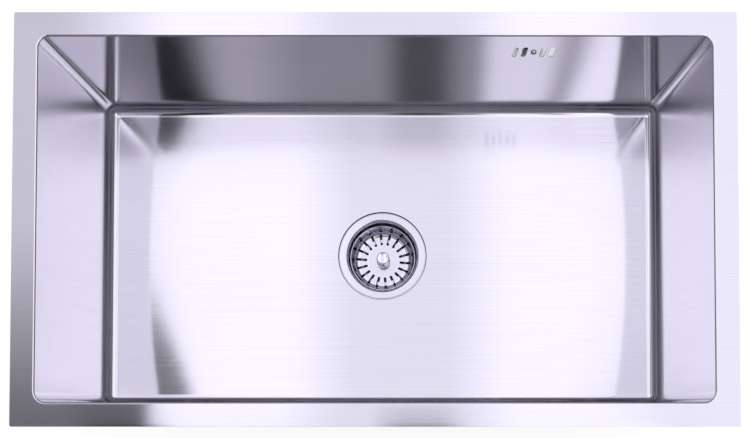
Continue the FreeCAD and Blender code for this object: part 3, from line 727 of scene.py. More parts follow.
def stadium_cutter(x, z, half_width, half_height, y_low, y_high, chamfer, face):
    """A slot with round ends, cut along Y, that widens by chamfer where it leaves each face."""
    quarter = arc((0, half_height - half_width), 1.0, 0, 180, 12)
    upper = quarter * (half_width, half_width) + (0, (half_height - half_width) * (1 - half_width))
    outline = np.concatenate([upper, -upper])
    unit = outline / np.maximum(np.linalg.norm(outline, axis=1, keepdims=True), WELD)
    stations = [(y_low, chamfer), (face[0], chamfer), (face[0] + chamfer, 0.0),
                (face[1] - chamfer, 0.0), (face[1], chamfer), (y_high, chamfer)]
    rows = []
    for y, grown in stations:
        ring = outline + unit * grown
        rows.append(np.stack([x + ring[:, 0], np.full(len(ring), y), z + ring[:, 1]], axis=1))
    middle = np.array([[x, y_low, z]]), np.array([[x, y_high, z]])
    rows = [np.repeat(middle[0], len(outline), 0)] + rows + [np.repeat(middle[1], len(outline), 0)]
    return grid(np.array(rows))


class SINK_OT_bowl(bpy.types.Operator):
    """Builds the pressed steel bowl with its flange, drain recess and overflow slots"""
    bl_idname = "sink.bowl"
    bl_label = "Bowl"

    def execute(self, context):
        bowl = context.scene.sink_bowl
        piece = object_of("steel_bowl", bowl_surface(bowl))
        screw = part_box("overflow_screw")
        middle = 0.5 * (screw[0][0] + screw[1][0])
        height = 0.5 * (screw[0][2] + screw[1][2])
        faces = (bowl.half_width, bowl.half_width + bowl.sheet)
        reach = (faces[0] - 0.003, faces[1] + 0.003)
        spacing, half_slot, half_rise = 0.010, 0.0028, 0.01225
        cutters = [stadium_cutter(middle + step * spacing, height, half_slot, half_rise, *reach,
                                  0.0002, faces) for step in (-2, -1, 1, 2)]
        hole = stadium_cutter(middle, height, 0.0023, 0.0023001, *reach, 0.0001, faces)
        joined(piece, together(*cutters, hole), "DIFFERENCE")
        finished(piece, finishes()["brushed steel"], "sink", "steel", "bowl_shell")
        return {"FINISHED"}


# Under the bowl ------------------------------------------------------------------------------

def ripple(points, size):
    """A slow unevenness between -1 and 1: three sines of the place along crossed directions."""
    directions = np.array([[1.0, 0.3, 0.7], [-0.4, 1.0, 0.5], [0.6, -0.8, 1.0]]) / size
    phases = points @ directions.T + np.array([0.3, 1.7, 4.1])
    return np.sin(phases + 0.8 * np.sin(phases[:, [1, 2, 0]])).mean(axis=1)


def pad_places(bowl):
    """Each pad: its name, half its size, its middle, and how its plan lies on the bowl."""
    film = bowl.sheet + FILM
    above_floor, under_flange, from_ends = 0.035, 0.060, 0.070      # of the pads on the walls
    from_edges, near_x = 0.045, 0.075                               # of the pads on the floor
    bottom, top = above_floor - bowl.depth, -under_flange
    half_z, middle_z = (top - bottom) / 2, (top + bottom) / 2
    side_x, side_y = bowl.half_length - from_ends, bowl.half_width - from_ends
    free_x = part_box("overflow_housing")[0][0] - HOUSING_ROOM
    base_x = bowl.half_length - from_edges
    base = (base_x - near_x) / 2, bowl.half_width - from_edges
    base_middle = (base_x + near_x) / 2

    def on_end(sign):
        def place(plan, height):
            return np.stack([sign * (bowl.half_length + film + height), plan[:, 0],
                             middle_z + plan[:, 1]], axis=1)
        return place

    def on_side(sign, middle):
        def place(plan, height):
            return np.stack([middle + plan[:, 0], sign * (bowl.half_width + film + height),
                             middle_z + plan[:, 1]], axis=1)
        return place

    def on_floor(sign):
        def place(plan, height):
            x, y = sign * base_middle + plan[:, 0], plan[:, 1]
            return np.stack([x, y, floor_height(bowl, x, y) - film - height], axis=1)
        return place

    return (
        ("pad_wall_left", side_y, half_z, on_end(-1)),
        ("pad_wall_right", side_y, half_z, on_end(1)),
        ("pad_wall_front", side_x, half_z, on_side(-1, 0.0)),
        ("pad_wall_back", (free_x + side_x) / 2, half_z, on_side(1, (free_x - side_x) / 2)),
        ("pad_base_left", *base, on_floor(-1)),
        ("pad_base_right", *base, on_floor(1)),
    )


class SINK_OT_sound_pads(bpy.types.Operator):
    """Builds the rubber sound pads on the walls and under the floor"""
    bl_idname = "sink.sound_pads"
    bl_label = "Sound pads"

    def execute(self, context):
        bowl = context.scene.sink_bowl
        for node, half_u, half_v, place in pad_places(bowl):
            surface = slab(half_u, half_v, bowl.pad_corner, 0.0009, 0.0, bowl.pad_thickness, place,
                           sides=(28, 20), rings=8)
            finished(object_of("rubber_" + node, surface), finishes()["sound pad"], "sink",
                     "sound_pad", node)
        return {"FINISHED"}


class SINK_OT_undercoat(bpy.types.Operator):
    """Builds the sprayed coating under the bowl, left off round the pads, drain and overflow"""
    bl_idname = "sink.undercoat"
    bl_label = "Undercoat"

    def execute(self, context):
        bowl = context.scene.sink_bowl
        inner = bowl.sheet + FILM
        outer = inner + bowl.coating
        bare = bowl.seat_radius + 0.5 * (bowl.dish_drop + bowl.seat_drop) + 0.009

        def top(offset, heights, cuts):
            rows = []
            for height, cut in zip(heights, cuts):
                grown = offset - cut
                rows.append((bowl.half_length + grown, bowl.half_width + grown,
                             bowl.corner_radius + grown, -bowl.coating_top - height))
            return rows

        skin = bowl_rows(bowl, outer, top(outer, (0.0, 0.0004, 0.0012, 0.0024),
                                          (0.00065, 0.0003, 0.0001, 0.0)), bare)
        back = bowl_rows(bowl, inner, top(inner, (0.0,), (0.0,)), bare)
        wave = ripple(skin.reshape(-1, 3), 0.004).reshape(skin.shape[:2])
        middle = np.array([0.0, 0.0, -0.5 * bowl.depth])
        towards = middle - skin
        towards /= np.linalg.norm(towards, axis=2, keepdims=True)
        skin[2:-1] += (towards * 0.00012 * (1 + wave[:, :, None]))[2:-1]
        edge = 0.0009 * (ripple(skin[0], 0.012) - 1)
        for rows in (skin[:4], back[:1]):
            rows[:, :, 2] += edge
        piece = object_of("sprayed_coat", grid(np.concatenate([skin, back[::-1]]), close_rows=True))
        gap = 0.0004
        cutters = [slab(half_u + gap, half_v + gap, bowl.pad_corner + gap, 0.0001, -0.002, 0.004,
                        place) for _, half_u, half_v, place in pad_places(bowl)]
        low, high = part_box("overflow_housing")
        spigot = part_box("hose_seal_upper")
        height = (high[2] - (spigot[1][2] + 0.020)) / 2
        middle_x, middle_z = (low[0] + high[0]) / 2, high[2] - height

        def behind(plan, depth):
            return np.stack([middle_x + plan[:, 0], bowl.half_width + depth,
                             middle_z + plan[:, 1]], axis=1)

        cutters.append(slab((high[0] - low[0]) / 2 + HOUSING_ROOM, height + HOUSING_ROOM,
                            bowl.pad_corner, 0.0001, -0.002, 0.006, behind))
        for cutter in cutters:
            joined(piece, cutter, "DIFFERENCE")
        finished(piece, finishes()["sprayed coating"], "sink", "undercoat", "undercoat")
        return {"FINISHED"}


# The strainer --------------------------------------------------------------------------------

def levels():
    """Heights of the strainer's pieces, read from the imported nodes."""
    cup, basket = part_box("strainer_cup"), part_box("basket")
    return {
        "cup_top": cup[1][2], "cup_under": cup[0][2], "rim": basket[1][2],
        "basket_under": basket[0][2], "post_top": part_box("basket_post")[1][2],
        "seal_top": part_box("stopper_seal")[1][2], "seal_low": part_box("stopper_seal")[0][2],
        "plate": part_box("seal_plate"), "bolt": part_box("clamp_bolt"),
    }


def upright_slot(start, end, half, low, high, bearing):
    """A cutter with round ends that reaches out from the axis at a bearing."""
    across = arc((end - half, 0), half, -90, 90, 10)
    outline = np.concatenate([across, (start + end, 0) - across])
    spoke, side = spoke_at(bearing)
    plan = outline @ np.array([spoke[:2], side[:2]])
    middle = np.repeat(plan.mean(axis=0)[None], len(plan), 0)
    rows = [np.hstack([xy, np.full((len(xy), 1), z)])
            for xy, z in ((middle, low), (plan, low), (plan, high), (middle, high))]
    return grid(np.array(rows))


def drill(radius, x, y, low, high, count=32):
    """An upright round cutter."""
    return turned(rod(radius, low, high), count, centre=np.array([x, y, 0.0]))


class SINK_OT_strainer_cup(bpy.types.Operator):
    """Builds the strainer's cup, with its flange and the openings in its floor"""
    bl_idname = "sink.strainer_cup"
    bl_label = "Strainer cup"

    def execute(self, context):
        cup, z = context.scene.sink_strainer, levels()
        t, top, under = cup.sheet, z["cup_top"], z["cup_under"]
        floor, wall_end = under + t, under + t + 0.014
        floor_radius, under_bend = cup.cup_radius - 0.013, 0.0012
        profile = rounded([
            (0, floor, 0), (floor_radius, floor, 0.0025), (cup.cup_radius, wall_end, 0.004),
            (cup.cup_radius, top, cup.throat_radius - cup.cup_radius),
            (cup.flange_radius, top - 0.0002, 0.0004), (cup.flange_radius, top - t, 0.0002),
            (cup.cup_radius + t, top - t, under_bend),
            (cup.cup_radius + t, wall_end - 0.0004, 0.0045), (floor_radius + 0.0003, under, 0.003),
            (0, under, 0),
        ], 10)
        piece = object_of("strainer_cup_steel", turned(filled(profile, 0.004), 180))
        angles = np.arange(6) * TURN / 6
        cutters = [drill(0.0055, 0.0165 * math.cos(a), 0.0165 * math.sin(a), under - t, floor + t)
                   for a in angles]
        cutters.append(drill(0.0042, 0.0, 0.0, under - t, floor + t))
        joined(piece, together(*cutters), "DIFFERENCE")
        finished(piece, finishes()["turned steel"], "sink", "strainer_steel", "strainer_cup")
        return {"FINISHED"}


class SINK_OT_basket(bpy.types.Operator):
    """Builds the lift-out basket with its slots, and its post"""
    bl_idname = "sink.basket"
    bl_label = "Basket"

    def execute(self, context):
        cup, z = context.scene.sink_strainer, levels()
        t, rim, under = cup.basket_sheet, z["rim"], z["basket_under"]
        floor, roll = under + t, 0.0016
        foot = cup.basket_rim - roll - 0.0012
        curve, bore = 0.009, cup.post_radius - 0.0021
        centre = (foot - curve, floor + curve)
        roll_centre = (cup.basket_rim - roll / 2, rim - roll / 2)
        profile = np.concatenate([
            [(bore, under), (0.012, under), (0.017, under + 0.0001), (0.0205, under + 0.0001)],
            arc(centre, curve + t, -90, 0, 14),
            [(cup.basket_rim - roll + t, rim - roll - 0.0004)],
            arc(roll_centre, roll / 2, -100, 150, 14),
            arc(centre, curve, 0, -90, 14),
            [(0.0205, floor), (0.0200, floor + 0.0001), (0.0170, floor + 0.0001),
             (0.0165, floor), (bore, floor)],
        ])
        piece = object_of("basket_steel", turned(filled(profile, 0.003), 180))
        cutters = [upright_slot(cup.slot_start, foot - 0.003, cup.slot_width / 2, under - t,
                                rim - roll - t, cup.slot_bearing + TURN * k / cup.slot_count)
                   for k in range(cup.slot_count)]
        joined(piece, together(*cutters), "DIFFERENCE")
        finished(piece, finishes()["basket steel"], "basket", "bright_steel", "basket")

        top, radius = z["post_top"], cup.post_radius
        foot, waist = radius + 0.0006, radius - 0.0022
        bore_top = z["plate"][0][2] + 0.0105
        face = np.linspace(0, radius - 0.0016, 8)
        dish = np.stack([face, top - 0.0008 * (1 - (face / face[-1]) ** 2)], axis=1)[::-1]
        side = rounded([
            (0, bore_top, 0), (bore, bore_top, 0.0005), (bore, floor, 0.0001),
            (foot, floor, 0.0002), (foot, floor + 0.0030, 0.0009),
            (radius - 0.0005, floor + 0.0036, 0.0004), (waist, floor + 0.0125, 0.003),
            (waist, top - 0.0065, 0.002), (radius, top - 0.0034, 0.0009), (radius, top, 0.0015),
            (face[-1], top, 0.0),
        ], 6)[:-1]
        post = np.concatenate([side, dish])
        finished(object_of("basket_knob", turned(filled(post, 0.003), 72)),
                 finishes()["basket steel"], "basket", "bright_steel", "basket_post")
        return {"FINISHED"}


class SINK_OT_stopper(bpy.types.Operator):
    """Builds the rubber stopper under the basket, with its plate and clip, and the clamp bolt"""
    bl_idname = "sink.stopper"
    bl_label = "Stopper and bolt"

    def execute(self, context):
        z = levels()
        plate_low, plate_high = z["plate"][0][2], z["plate"][1][2]
        low, high, bore = z["seal_low"], z["seal_top"], 0.0059
        seal = rounded([
            (bore, plate_high, 0.0003), (0.0206, plate_high, 0.001), (0.0256, low, 0.0003),
            (0.027, low, 0.0003), (0.0215, high - 0.0018, 0.002), (0.0206, high, 0.0008),
            (0.0150, high, 0.0004), (0.0145, high - 0.0004, 0.0003),
            (0.0125, high - 0.0004, 0.0003), (0.0120, high, 0.0004), (bore, high, 0.0004)], 5)
        finished(object_of("stopper_rubber", turned(filled(seal, 0.003), 128)),
                 finishes()["seal rubber"], "stopper", "seal_rubber", "stopper_seal")
        plate = rounded([(bore, plate_low, 0.0002), (0.017, plate_low, 0.0003),
                         (0.017, plate_high, 0.0003), (bore, plate_high, 0.0002)], 4)
        finished(object_of("stopper_plate", turned(filled(plate, 0.003), 96)),
                 finishes()["zinc plate"], "stopper", "zinc_steel", "seal_plate")
        repaint("spring_clip", finishes()["white plastic"])

        end, ball_top = z["bolt"][0][2], z["bolt"][1][2]
        ball, count = 0.0033, 48
        head_top = ball_top - 0.009
        head_low = z["cup_under"] + 0.0008
        upper = np.concatenate([
            arc((0, ball_top - ball), ball, 90, -40, 14),
            rounded([(0.0025, head_top + 0.0012, 0.0), (0.0025, head_top, 0.0005),
                     (0.007, head_top, 0.0009), (0.007, head_low, 0.0003), (0.004, head_low, 0.0)],
                    5)])
        screw = threaded(0.004, end + 0.0008, z["cup_under"] - 0.001, 0.00125, 0.0006, count)
        tip = np.array([(0.0032, end), (0.0, end)])
        rows = np.concatenate([full_rows(upper, count), screw, full_rows(tip, count)])
        finished(object_of("clamp_bolt_threaded", turned(rows)), finishes()["zinc plate"], "sink",
                 "zinc_steel", "clamp_bolt")
        return {"FINISHED"}


# The waste -----------------------------------------------------------------------------------

def hose_side():
    """Unit vectors in plan: from the drain's axis towards the overflow, and square to it."""
    upper = np.mean(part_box("hose_seal_upper"), axis=0)
    away = np.array([upper[0], upper[1], 0.0])
    away /= np.linalg.norm(away)
    return away, np.cross(Z_AXIS, away)


class SINK_OT_waste(bpy.types.Operator):
    """Builds the moulded waste body: chamber, funnel, threaded outlet, ribs, boss and inlet"""
    bl_idname = "sink.waste"
    bl_label = "Waste"

    def execute(self, context):
        waste = context.scene.sink_waste
        top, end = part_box("waste_body")[1][2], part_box("waste_spout")[0][2]
        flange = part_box("waste_gasket")[1][0]
        bore, outer = waste.waste_bore, waste.waste_bore + waste.waste_wall
        outlet_length, funnel_height = 0.038, 0.056         # both from the outlet's end
        outlet_top, funnel = end + outlet_length, end + funnel_height
        inside = waste.outlet_radius - waste.outlet_wall
        count = 128
        inner = rounded([(bore, top, 0.0), (bore, funnel, 0.004), (inside, outlet_top, 0.004),
                         (inside, end, 0.0006), (waste.outlet_radius - 0.0012, end, 0.0006),
                         (waste.outlet_radius - 0.0012, end + 0.001, 0.0), (1.0, top, 0.0)], 6)[:-1]
        screw = threaded(waste.outlet_radius, end + 0.0014, end + 0.029, waste.outlet_pitch, 0.0012,
                         count)[::-1]
        outside = rounded([(waste.outlet_radius - 0.0001, end + 0.0295, 0.0),
                           (waste.outlet_radius - 0.0001, outlet_top, 0.003),
                           (outer, funnel, 0.004), (outer, top - 0.004, 0.0012),
                           (flange, top - 0.004, 0.0008), (flange, top, 0.0008),
                           (bore + 0.0005, top, 0.0)], 6)
        rows = np.concatenate([full_rows(inner, count), screw, full_rows(outside, count)])
        piece = object_of("waste_moulding", turned(rows))

        away, across = hose_side()
        added = []
        for k in range(8):
            spoke, side = spoke_at(TURN * (k + 0.5) / 8)
            half_reach = 0.0065 / 2
            low_z, high_z = funnel, top - 0.002

            def place(plan, height, spoke=spoke, side=side):
                reach = outer - 0.0015 + half_reach + plan[:, :1]
                rise = (low_z + high_z) / 2 + plan[:, 1:]
                return spoke * reach + side * (height[:, None] - 0.00125) + Z_AXIS * rise

            added.append(slab(half_reach, (high_z - low_z) / 2, 0.0016, 0.0005, 0.0, 0.0025, place))
        joined(piece, together(*added), "UNION")

        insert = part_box("insert_nut")
        foot, rise = insert[0][2], insert[1][2]
        joined(piece, turned(rod(0.009, foot, rise, 0.0008, 0.0005), 64), "UNION")
        start, stop, fall, half_web = 0.005, inside + 0.0110, 0.0100, 0.0015
        for k in range(3):
            spoke, side = spoke_at(TURN * k / 3)
            corners = np.array([(start, rise), (stop + 0.008, rise), (stop - 0.0072, rise - fall),
                                (start, rise - fall)])
            web = np.stack([spoke * r + Z_AXIS * z for r, z in corners])
            middle = np.repeat(web.mean(axis=0)[None], 4, 0)
            joined(piece, grid(np.array([middle + side * half_web, web + side * half_web,
                                         web - side * half_web, middle - side * half_web])),
                   "UNION")
        joined(piece, drill(0.0062, 0, 0, foot - 0.002, rise + 0.002, 48), "DIFFERENCE")

        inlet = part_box("hose_seal_lower")
        inlet_z = (inlet[0][2] + inlet[1][2]) / 2
        spigot, reach = SPIGOT_RADIUS, INLET_REACH
        axis_foot = np.array([0.0, 0.0, inlet_z])
        tube = rounded([(0, outer - 0.002, 0), (spigot, outer - 0.002, 0),
                        (spigot, reach - 0.014, 0.0), (spigot, reach, 0.0006), (0, reach, 0)], 6)
        joined(piece, turned(filled(tube, 0.004), 64, axis_foot, away, across), "UNION")
        collar = rod(COLLAR_RADIUS, reach - 0.0170, reach - 0.0145, 0.0006, 0.0006)
        joined(piece, turned(collar, 64, axis_foot, away, across), "UNION")
        way = rod(SPIGOT_BORE, bore - 0.004, reach + 0.004)
        joined(piece, turned(way, 64, axis_foot, away, across), "DIFFERENCE")
        finished(piece, finishes()["white plastic"], "sink", "white_plastic", "waste_body",
                 "waste_spout")

        repaint("insert_nut", finishes()["brass"])
        for node in ("cup_gasket", "waste_gasket"):
            repaint(node, finishes()["seal rubber"])
        return {"FINISHED"}


# The overflow --------------------------------------------------------------------------------

class SINK_OT_overflow_housing(bpy.types.Operator):
    """Builds the moulded housing behind the overflow slots, with its boss and spigot"""
    bl_idname = "sink.overflow_housing"
    bl_label = "Overflow housing"

    def execute(self, context):
        waste = context.scene.sink_waste
        low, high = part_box("overflow_housing")
        half_x, half_z = waste.housing_length / 2, waste.housing_height / 2
        middle = np.array([(low[0] + high[0]) / 2, 0.0, high[2] - half_z])
        front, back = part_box("overflow_gasket")[1][1], high[1]
        wall, corner, round_back, edge = 0.002, 0.006, 0.003, 0.0003

        def rows(inset, radius, first, last, bend):
            """Rings from the open front to the middle of the back, as one face of the shell."""
            out = [(inset + edge, first), (inset, first + edge)]
            out += [(inset, y) for y in np.linspace(first, last - bend, 6)[1:-1]]
            for angle in np.radians(np.linspace(0, 90, 7)):
                out.append((inset + bend * (1 - math.cos(angle)),
                            last - bend * (1 - math.sin(angle))))
            out += [(inset + bend + (half_z - inset - bend) * s, last)
                    for s in np.linspace(0, 1, 6)[1:]]
            rings = []
            for cut, y in out:
                plan = rounded_ring(half_x - cut, half_z - cut, max(radius - (cut - inset), 0.0),
                                    (20, 12), 8)
                rings.append(np.stack([plan[:, 0], np.full(len(plan), y), plan[:, 1]], axis=1))
            return np.array(rings)

        skin = rows(0.0, corner, front, back, round_back)
        lining = rows(wall, corner - wall, front, back - wall, round_back - wall)
        lining[0, :, :] = lining[1, :, :] - (0, edge, 0)
        shell = grid(np.concatenate([skin, lining[::-1]]) + middle, close_rows=True)
        piece = object_of("overflow_moulding", shell)

        hose_y = (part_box("hose_seal_upper")[0][1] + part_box("hose_seal_upper")[1][1]) / 2
        mouth = np.array([middle[0], hose_y, low[2]])
        spigot = rod(SPIGOT_RADIUS, 0, 0.0205, 0.0006, steps=6)
        joined(piece, turned(filled(spigot, 0.004), 64, mouth), "UNION")
        collar = rod(COLLAR_RADIUS, 0.0145, 0.0170, 0.0006, 0.0006)
        joined(piece, turned(collar, 64, mouth), "UNION")
        screw_z = (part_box("overflow_screw")[0][2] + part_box("overflow_screw")[1][2]) / 2
        boss_foot = np.array([middle[0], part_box("overflow_gasket")[0][1] + 0.0001, screw_z])
        boss = rod(0.0045, 0, back - 0.001 - boss_foot[1], 0.0004)
        joined(piece, turned(boss, 48, boss_foot, Y_AXIS, X_AXIS), "UNION")
        joined(piece, turned(rod(SPIGOT_BORE, -0.004, 0.024), 64, mouth), "DIFFERENCE")
        pilot = rod(0.00205, -0.004, 0.024)
        joined(piece, turned(pilot, 32, boss_foot, Y_AXIS, X_AXIS), "DIFFERENCE")
        finished(piece, finishes()["frosted plastic"], "sink", "white_plastic", "overflow_housing")
        repaint("overflow_gasket", finishes()["seal rubber"])
        repaint("overflow_screw", finishes()["basket steel"])
        return {"FINISHED"}


def hose_path(waste, stations):
    """The hose's place and heading at distances along it: a drop, a quarter turn, and a run in."""
    away, _ = hose_side()
    start = np.mean(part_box("hose_seal_upper"), axis=0)
    start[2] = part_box("hose_seal_upper")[0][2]
    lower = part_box("hose_seal_lower")
    inlet_z = (lower[0][2] + lower[1][2]) / 2
    drop = start[2] - inlet_z - waste.hose_bend
    turn = waste.hose_bend * math.pi / 2
    angle = np.clip((stations - drop) / waste.hose_bend, 0, math.pi / 2)
    fall = np.minimum(stations, drop) + waste.hose_bend * np.sin(angle)
    inwards = waste.hose_bend * (1 - np.cos(angle)) + np.maximum(stations - drop - turn, 0)
    points = start - fall[:, None] * Z_AXIS - inwards[:, None] * away
    headings = -np.sin(angle)[:, None] * away - np.cos(angle)[:, None] * Z_AXIS
    return points, headings


class SINK_OT_overflow_hose(bpy.types.Operator):
    """Builds the ribbed hose from the overflow to the waste, with its two nuts"""
    bl_idname = "sink.overflow_hose"
    bl_label = "Overflow hose"

    def execute(self, context):
        waste = context.scene.sink_waste
        away, across = hose_side()
        upper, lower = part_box("hose_seal_upper"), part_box("hose_seal_lower")
        inlet_z = (lower[0][2] + lower[1][2]) / 2
        plan = np.linalg.norm(np.mean(upper, axis=0)[:2])
        run_end, bend = 0.088, waste.hose_bend
        total = upper[0][2] - inlet_z - bend + bend * math.pi / 2 + plan - bend - run_end
        plain = 2 * waste.hose_radius
        pitch = (total - 2 * plain) / waste.rib_count
        steps = np.arange(10 * waste.rib_count + 1) / 10
        ribs = plain + steps * pitch
        share = np.abs(2 * (steps % 1.0) - 1)
        crest = smooth_step((0.86 - share) / 0.46)
        stations = np.concatenate([[0.0, 0.0004], np.linspace(0.004, plain, 6)[:-1], ribs,
                                   total - np.linspace(plain, 0.004, 6)[1:],
                                   [total - 0.0004, total]])
        root = waste.hose_radius - waste.rib_height
        outside = np.full(len(stations), root)
        outside[7:7 + len(ribs)] += waste.rib_height * crest
        outside[[0, -1]] -= 0.0004
        bore_at = np.linspace(total, 0.0, 90)
        every = np.concatenate([stations, bore_at])
        radii = np.concatenate([outside, np.full(90, root - waste.hose_wall)])
        points, headings = hose_path(waste, every)
        surface = carried(np.repeat(radii[:, None], 40, 1), points, headings, across)
        finished(object_of("ribbed_hose", surface), finishes()["grey plastic"], "sink",
                 "grey_plastic", "overflow_hose")

        mouths = {"upper": (hose_path(waste, np.zeros(1))[0][0] + 0.002 * Z_AXIS, -Z_AXIS),
                  "lower": (np.array([0, 0, inlet_z]) + away * INLET_REACH, away)}
        for name, (mouth, heading) in mouths.items():
            finished(object_of("ribbed_nut_" + name, nut_surface(waste, mouth, heading, across)),
                     finishes()["white plastic"], "sink", "white_plastic", "hose_nut_" + name)
            repaint("hose_seal_" + name, finishes()["seal rubber"])
        return {"FINISHED"}


def nut_surface(waste, mouth, heading, side):
    """A sleeve with finger grips: its radius dips by a cosine twelve times round, off the ends."""
    root = waste.hose_radius - waste.rib_height
    radius, inside, neck = root + 0.0038, root + 0.0003, 0.0108
    size, edge, count = 0.027, 0.0009, 144
    corner = np.radians(np.linspace(90, 0, 5))
    stations = np.concatenate([edge * (1 - np.sin(corner)), np.linspace(0.002, size - 0.002, 12),
                               size - edge * (1 - np.sin(corner[::-1]))])
    outer = np.concatenate([radius - edge * (1 - np.cos(corner)), np.full(12, radius),
                            radius - edge * (1 - np.cos(corner[::-1]))])
    angles = np.arange(count) * TURN / count
    grip = np.maximum(0.0, np.cos(12 * angles)) ** 0.7
    reach = smooth_step(np.minimum(stations - 0.0015, size - 0.0015 - stations) / 0.002)
    skin = outer[:, None] - 0.0009 * reach[:, None] * grip[None]
    skin = np.stack([skin, np.repeat(stations[:, None], count, 1)], axis=2)
    lining = np.array([(inside + 0.0004, size), (inside, size - 0.0004), (inside, 0.003),
                       (neck, 0.003), (neck, 0.0004), (neck + 0.0004, 0.0)])
    rows = np.concatenate([skin, full_rows(lining, count)])
    return turned(rows, count, mouth - heading * 0.012, heading, side)


# The stage -----------------------------------------------------------------------------------

def studio_material(name, rgb, shadow_share):
    """White to the camera and in reflections, with a share of real shading for shadows."""
    paint = Paint(name)
    paint.base(Base_Color=(*rgb, 1), Roughness=1.0, Specular_IOR_Level=0.0)
    rays = paint.add("LightPath").outputs
    seen = paint.number("MAXIMUM", rays["Is Camera Ray"],
                        paint.number("MAXIMUM", rays["Is Glossy Ray"],
                                     rays["Is Transmission Ray"]))
    glow = paint.add("Emission", Color=(*rgb, 1), Strength=1.0).outputs[0]
    mix = paint.add("MixShader", _0=paint.number("MULTIPLY", seen, 1 - shadow_share),
                    _1=paint.shader.outputs[0], _2=glow)
    paint.tree.links.new(mix.outputs[0], paint.tree.nodes["Material Output"].inputs[0])
    return paint.material


def card_material(name, rgb):
    """A card that only reflections see: as bright as its level, and clear where its cover is 0."""
    paint = Paint(name)
    level, cover = (paint.add("Attribute", {"attribute_name": a}).outputs["Fac"]
                    for a in ("level", "cover"))
    mix = paint.add("MixShader", _0=cover, _1=paint.add("BsdfTransparent").outputs[0],
                    _2=paint.add("Emission", Color=(*rgb, 1), Strength=level).outputs[0])
    paint.tree.links.new(mix.outputs[0], paint.tree.nodes["Material Output"].inputs[0])
    return paint.material


def staged(name, corners, faces, material):
    """A stage piece made of these faces."""
    mesh = bpy.data.meshes.new(name)
    mesh.from_pydata(corners, [], faces.tolist())
    mesh.materials.append(material)
    piece = bpy.data.objects.new(name, mesh)
    bpy.context.scene.collection.objects.link(piece)
    return piece


def only_mirrored(piece, cover, level):
    """Hides a stage piece from all but reflections, and gives its corners a cover and a level."""
    for key, values in (("cover", cover), ("level", level)):
        piece.data.attributes.new(key, "FLOAT", "POINT").data.foreach_set("value", values)
    piece.visible_camera = piece.visible_diffuse = piece.visible_shadow = False
    piece.visible_transmission = False


def plane(name, xs, ys, height, material):
    """A flat stage piece: a grid of the places xs by the places ys."""
    points = np.stack([*np.meshgrid(xs, ys), np.full((len(ys), len(xs)), height)], axis=2)
    corners, faces = grid(points, close_columns=False)
    return staged(name, corners, faces[:, ::-1], material)


SENSOR_WIDTH = 36.0                         # millimetres
CAMERA_PLACE = (0.0373, -0.1949, 0.8888)    # fitted to the corners of the rim and the floor
CAMERA_TILT = 1.53                          # degrees from straight down
CAMERA_SHIFT = (-0.0484, 0.22)
LAMP_SIZE, LAMP_PLACE = (1.4, 1.0), (0.3, 0.1, 2.2)
FLOOR_REACH = 8
SURROUND_REACH, SURROUND_TOP = 1.9, 1.8
SURROUND_LEVELS = (0.2, 0.25, 0.25, 0.12)   # right, back, left and front
CARD_HEIGHT, CARD_STEP = 1.5, 0.01          # the lowest card, and from one card to the next
CARDS = (
    # name, x from, x to, y from, y to, width of the soft edges in x and in y, level; lowest first
    ("gap_right", 0.281, 0.502, -1.04, -0.37, 0.06, 0.06, 1.04),
    ("gap_far_right", 0.568, 0.762, -1.28, -0.31, 0.06, 0.06, 1.25),
    ("gap_left", -1.10, -0.845, -1.6, -0.70, 0.10, 0.10, 0.41),
    ("camera_side", -0.03, 0.172, -1.6, -0.26, 0.09, 0.09, 0.07),
    ("dark_left", -0.872, -0.645, -1.6, -0.28, 0.08, 0.08, 0.0),
    ("dim", -0.653, -0.428, -1.6, -0.47, 0.20, 0.20, 0.48),
    ("front", -1.3, 0.85, -1.9, -0.395, 0.03, 0.03, 0.30),
    ("patch", -0.95, -0.701, -0.10, 0.14, 0.03, 0.20, 0.14),
    ("corner", -1.2, -0.714, -0.8, 0.064, 0.026, 0.50, 0.15),
    ("left", -1.7, -0.817, -0.17, 1.5, 0.32, 0.32, 0.70),
    ("middle", -0.255, 0.258, -0.8, 1.5, 0.19, 0.19, 0.965),
    ("right", 0.657, 1.3, -0.6, 1.5, 0.2, 0.2, 1.05),
    ("ceiling", -1.07, 0.79, -0.6, 1.5, 0.11, 0.11, 1.22),
)


def soft_card(number, name, x0, x1, y0, y1, soft_x, soft_y, level, material):
    """A level card whose cover falls to 0 over its soft edges."""
    places = [(low - soft / 2, low + soft / 2, high - soft / 2, high + soft / 2)
              for low, high, soft in ((x0, x1, soft_x), (y0, y1, soft_y))]
    card = plane(name + "_card", *places, CARD_HEIGHT + number * CARD_STEP, material)
    inner = np.array([0.0, 1.0, 1.0, 0.0])
    only_mirrored(card, np.outer(inner, inner).ravel(), np.full(16, level))


def surround(reach, low, high, levels, material):
    """Upright cards on the four sides, from the right round to the front, each at its level."""
    corners = np.array([(1, -1), (1, 1), (-1, 1), (-1, -1)]) * reach
    sides = np.stack([corners, np.roll(corners, -1, 0)], axis=1).reshape(-1, 2)
    rows = [np.hstack([sides, np.full((8, 1), z)]) for z in (low, high)]
    corners, faces = grid(np.array(rows), close_columns=False)
    card = staged("surround", corners, faces[::2], material)
    only_mirrored(card, np.ones(16), np.tile(np.repeat(levels, 2), 2))


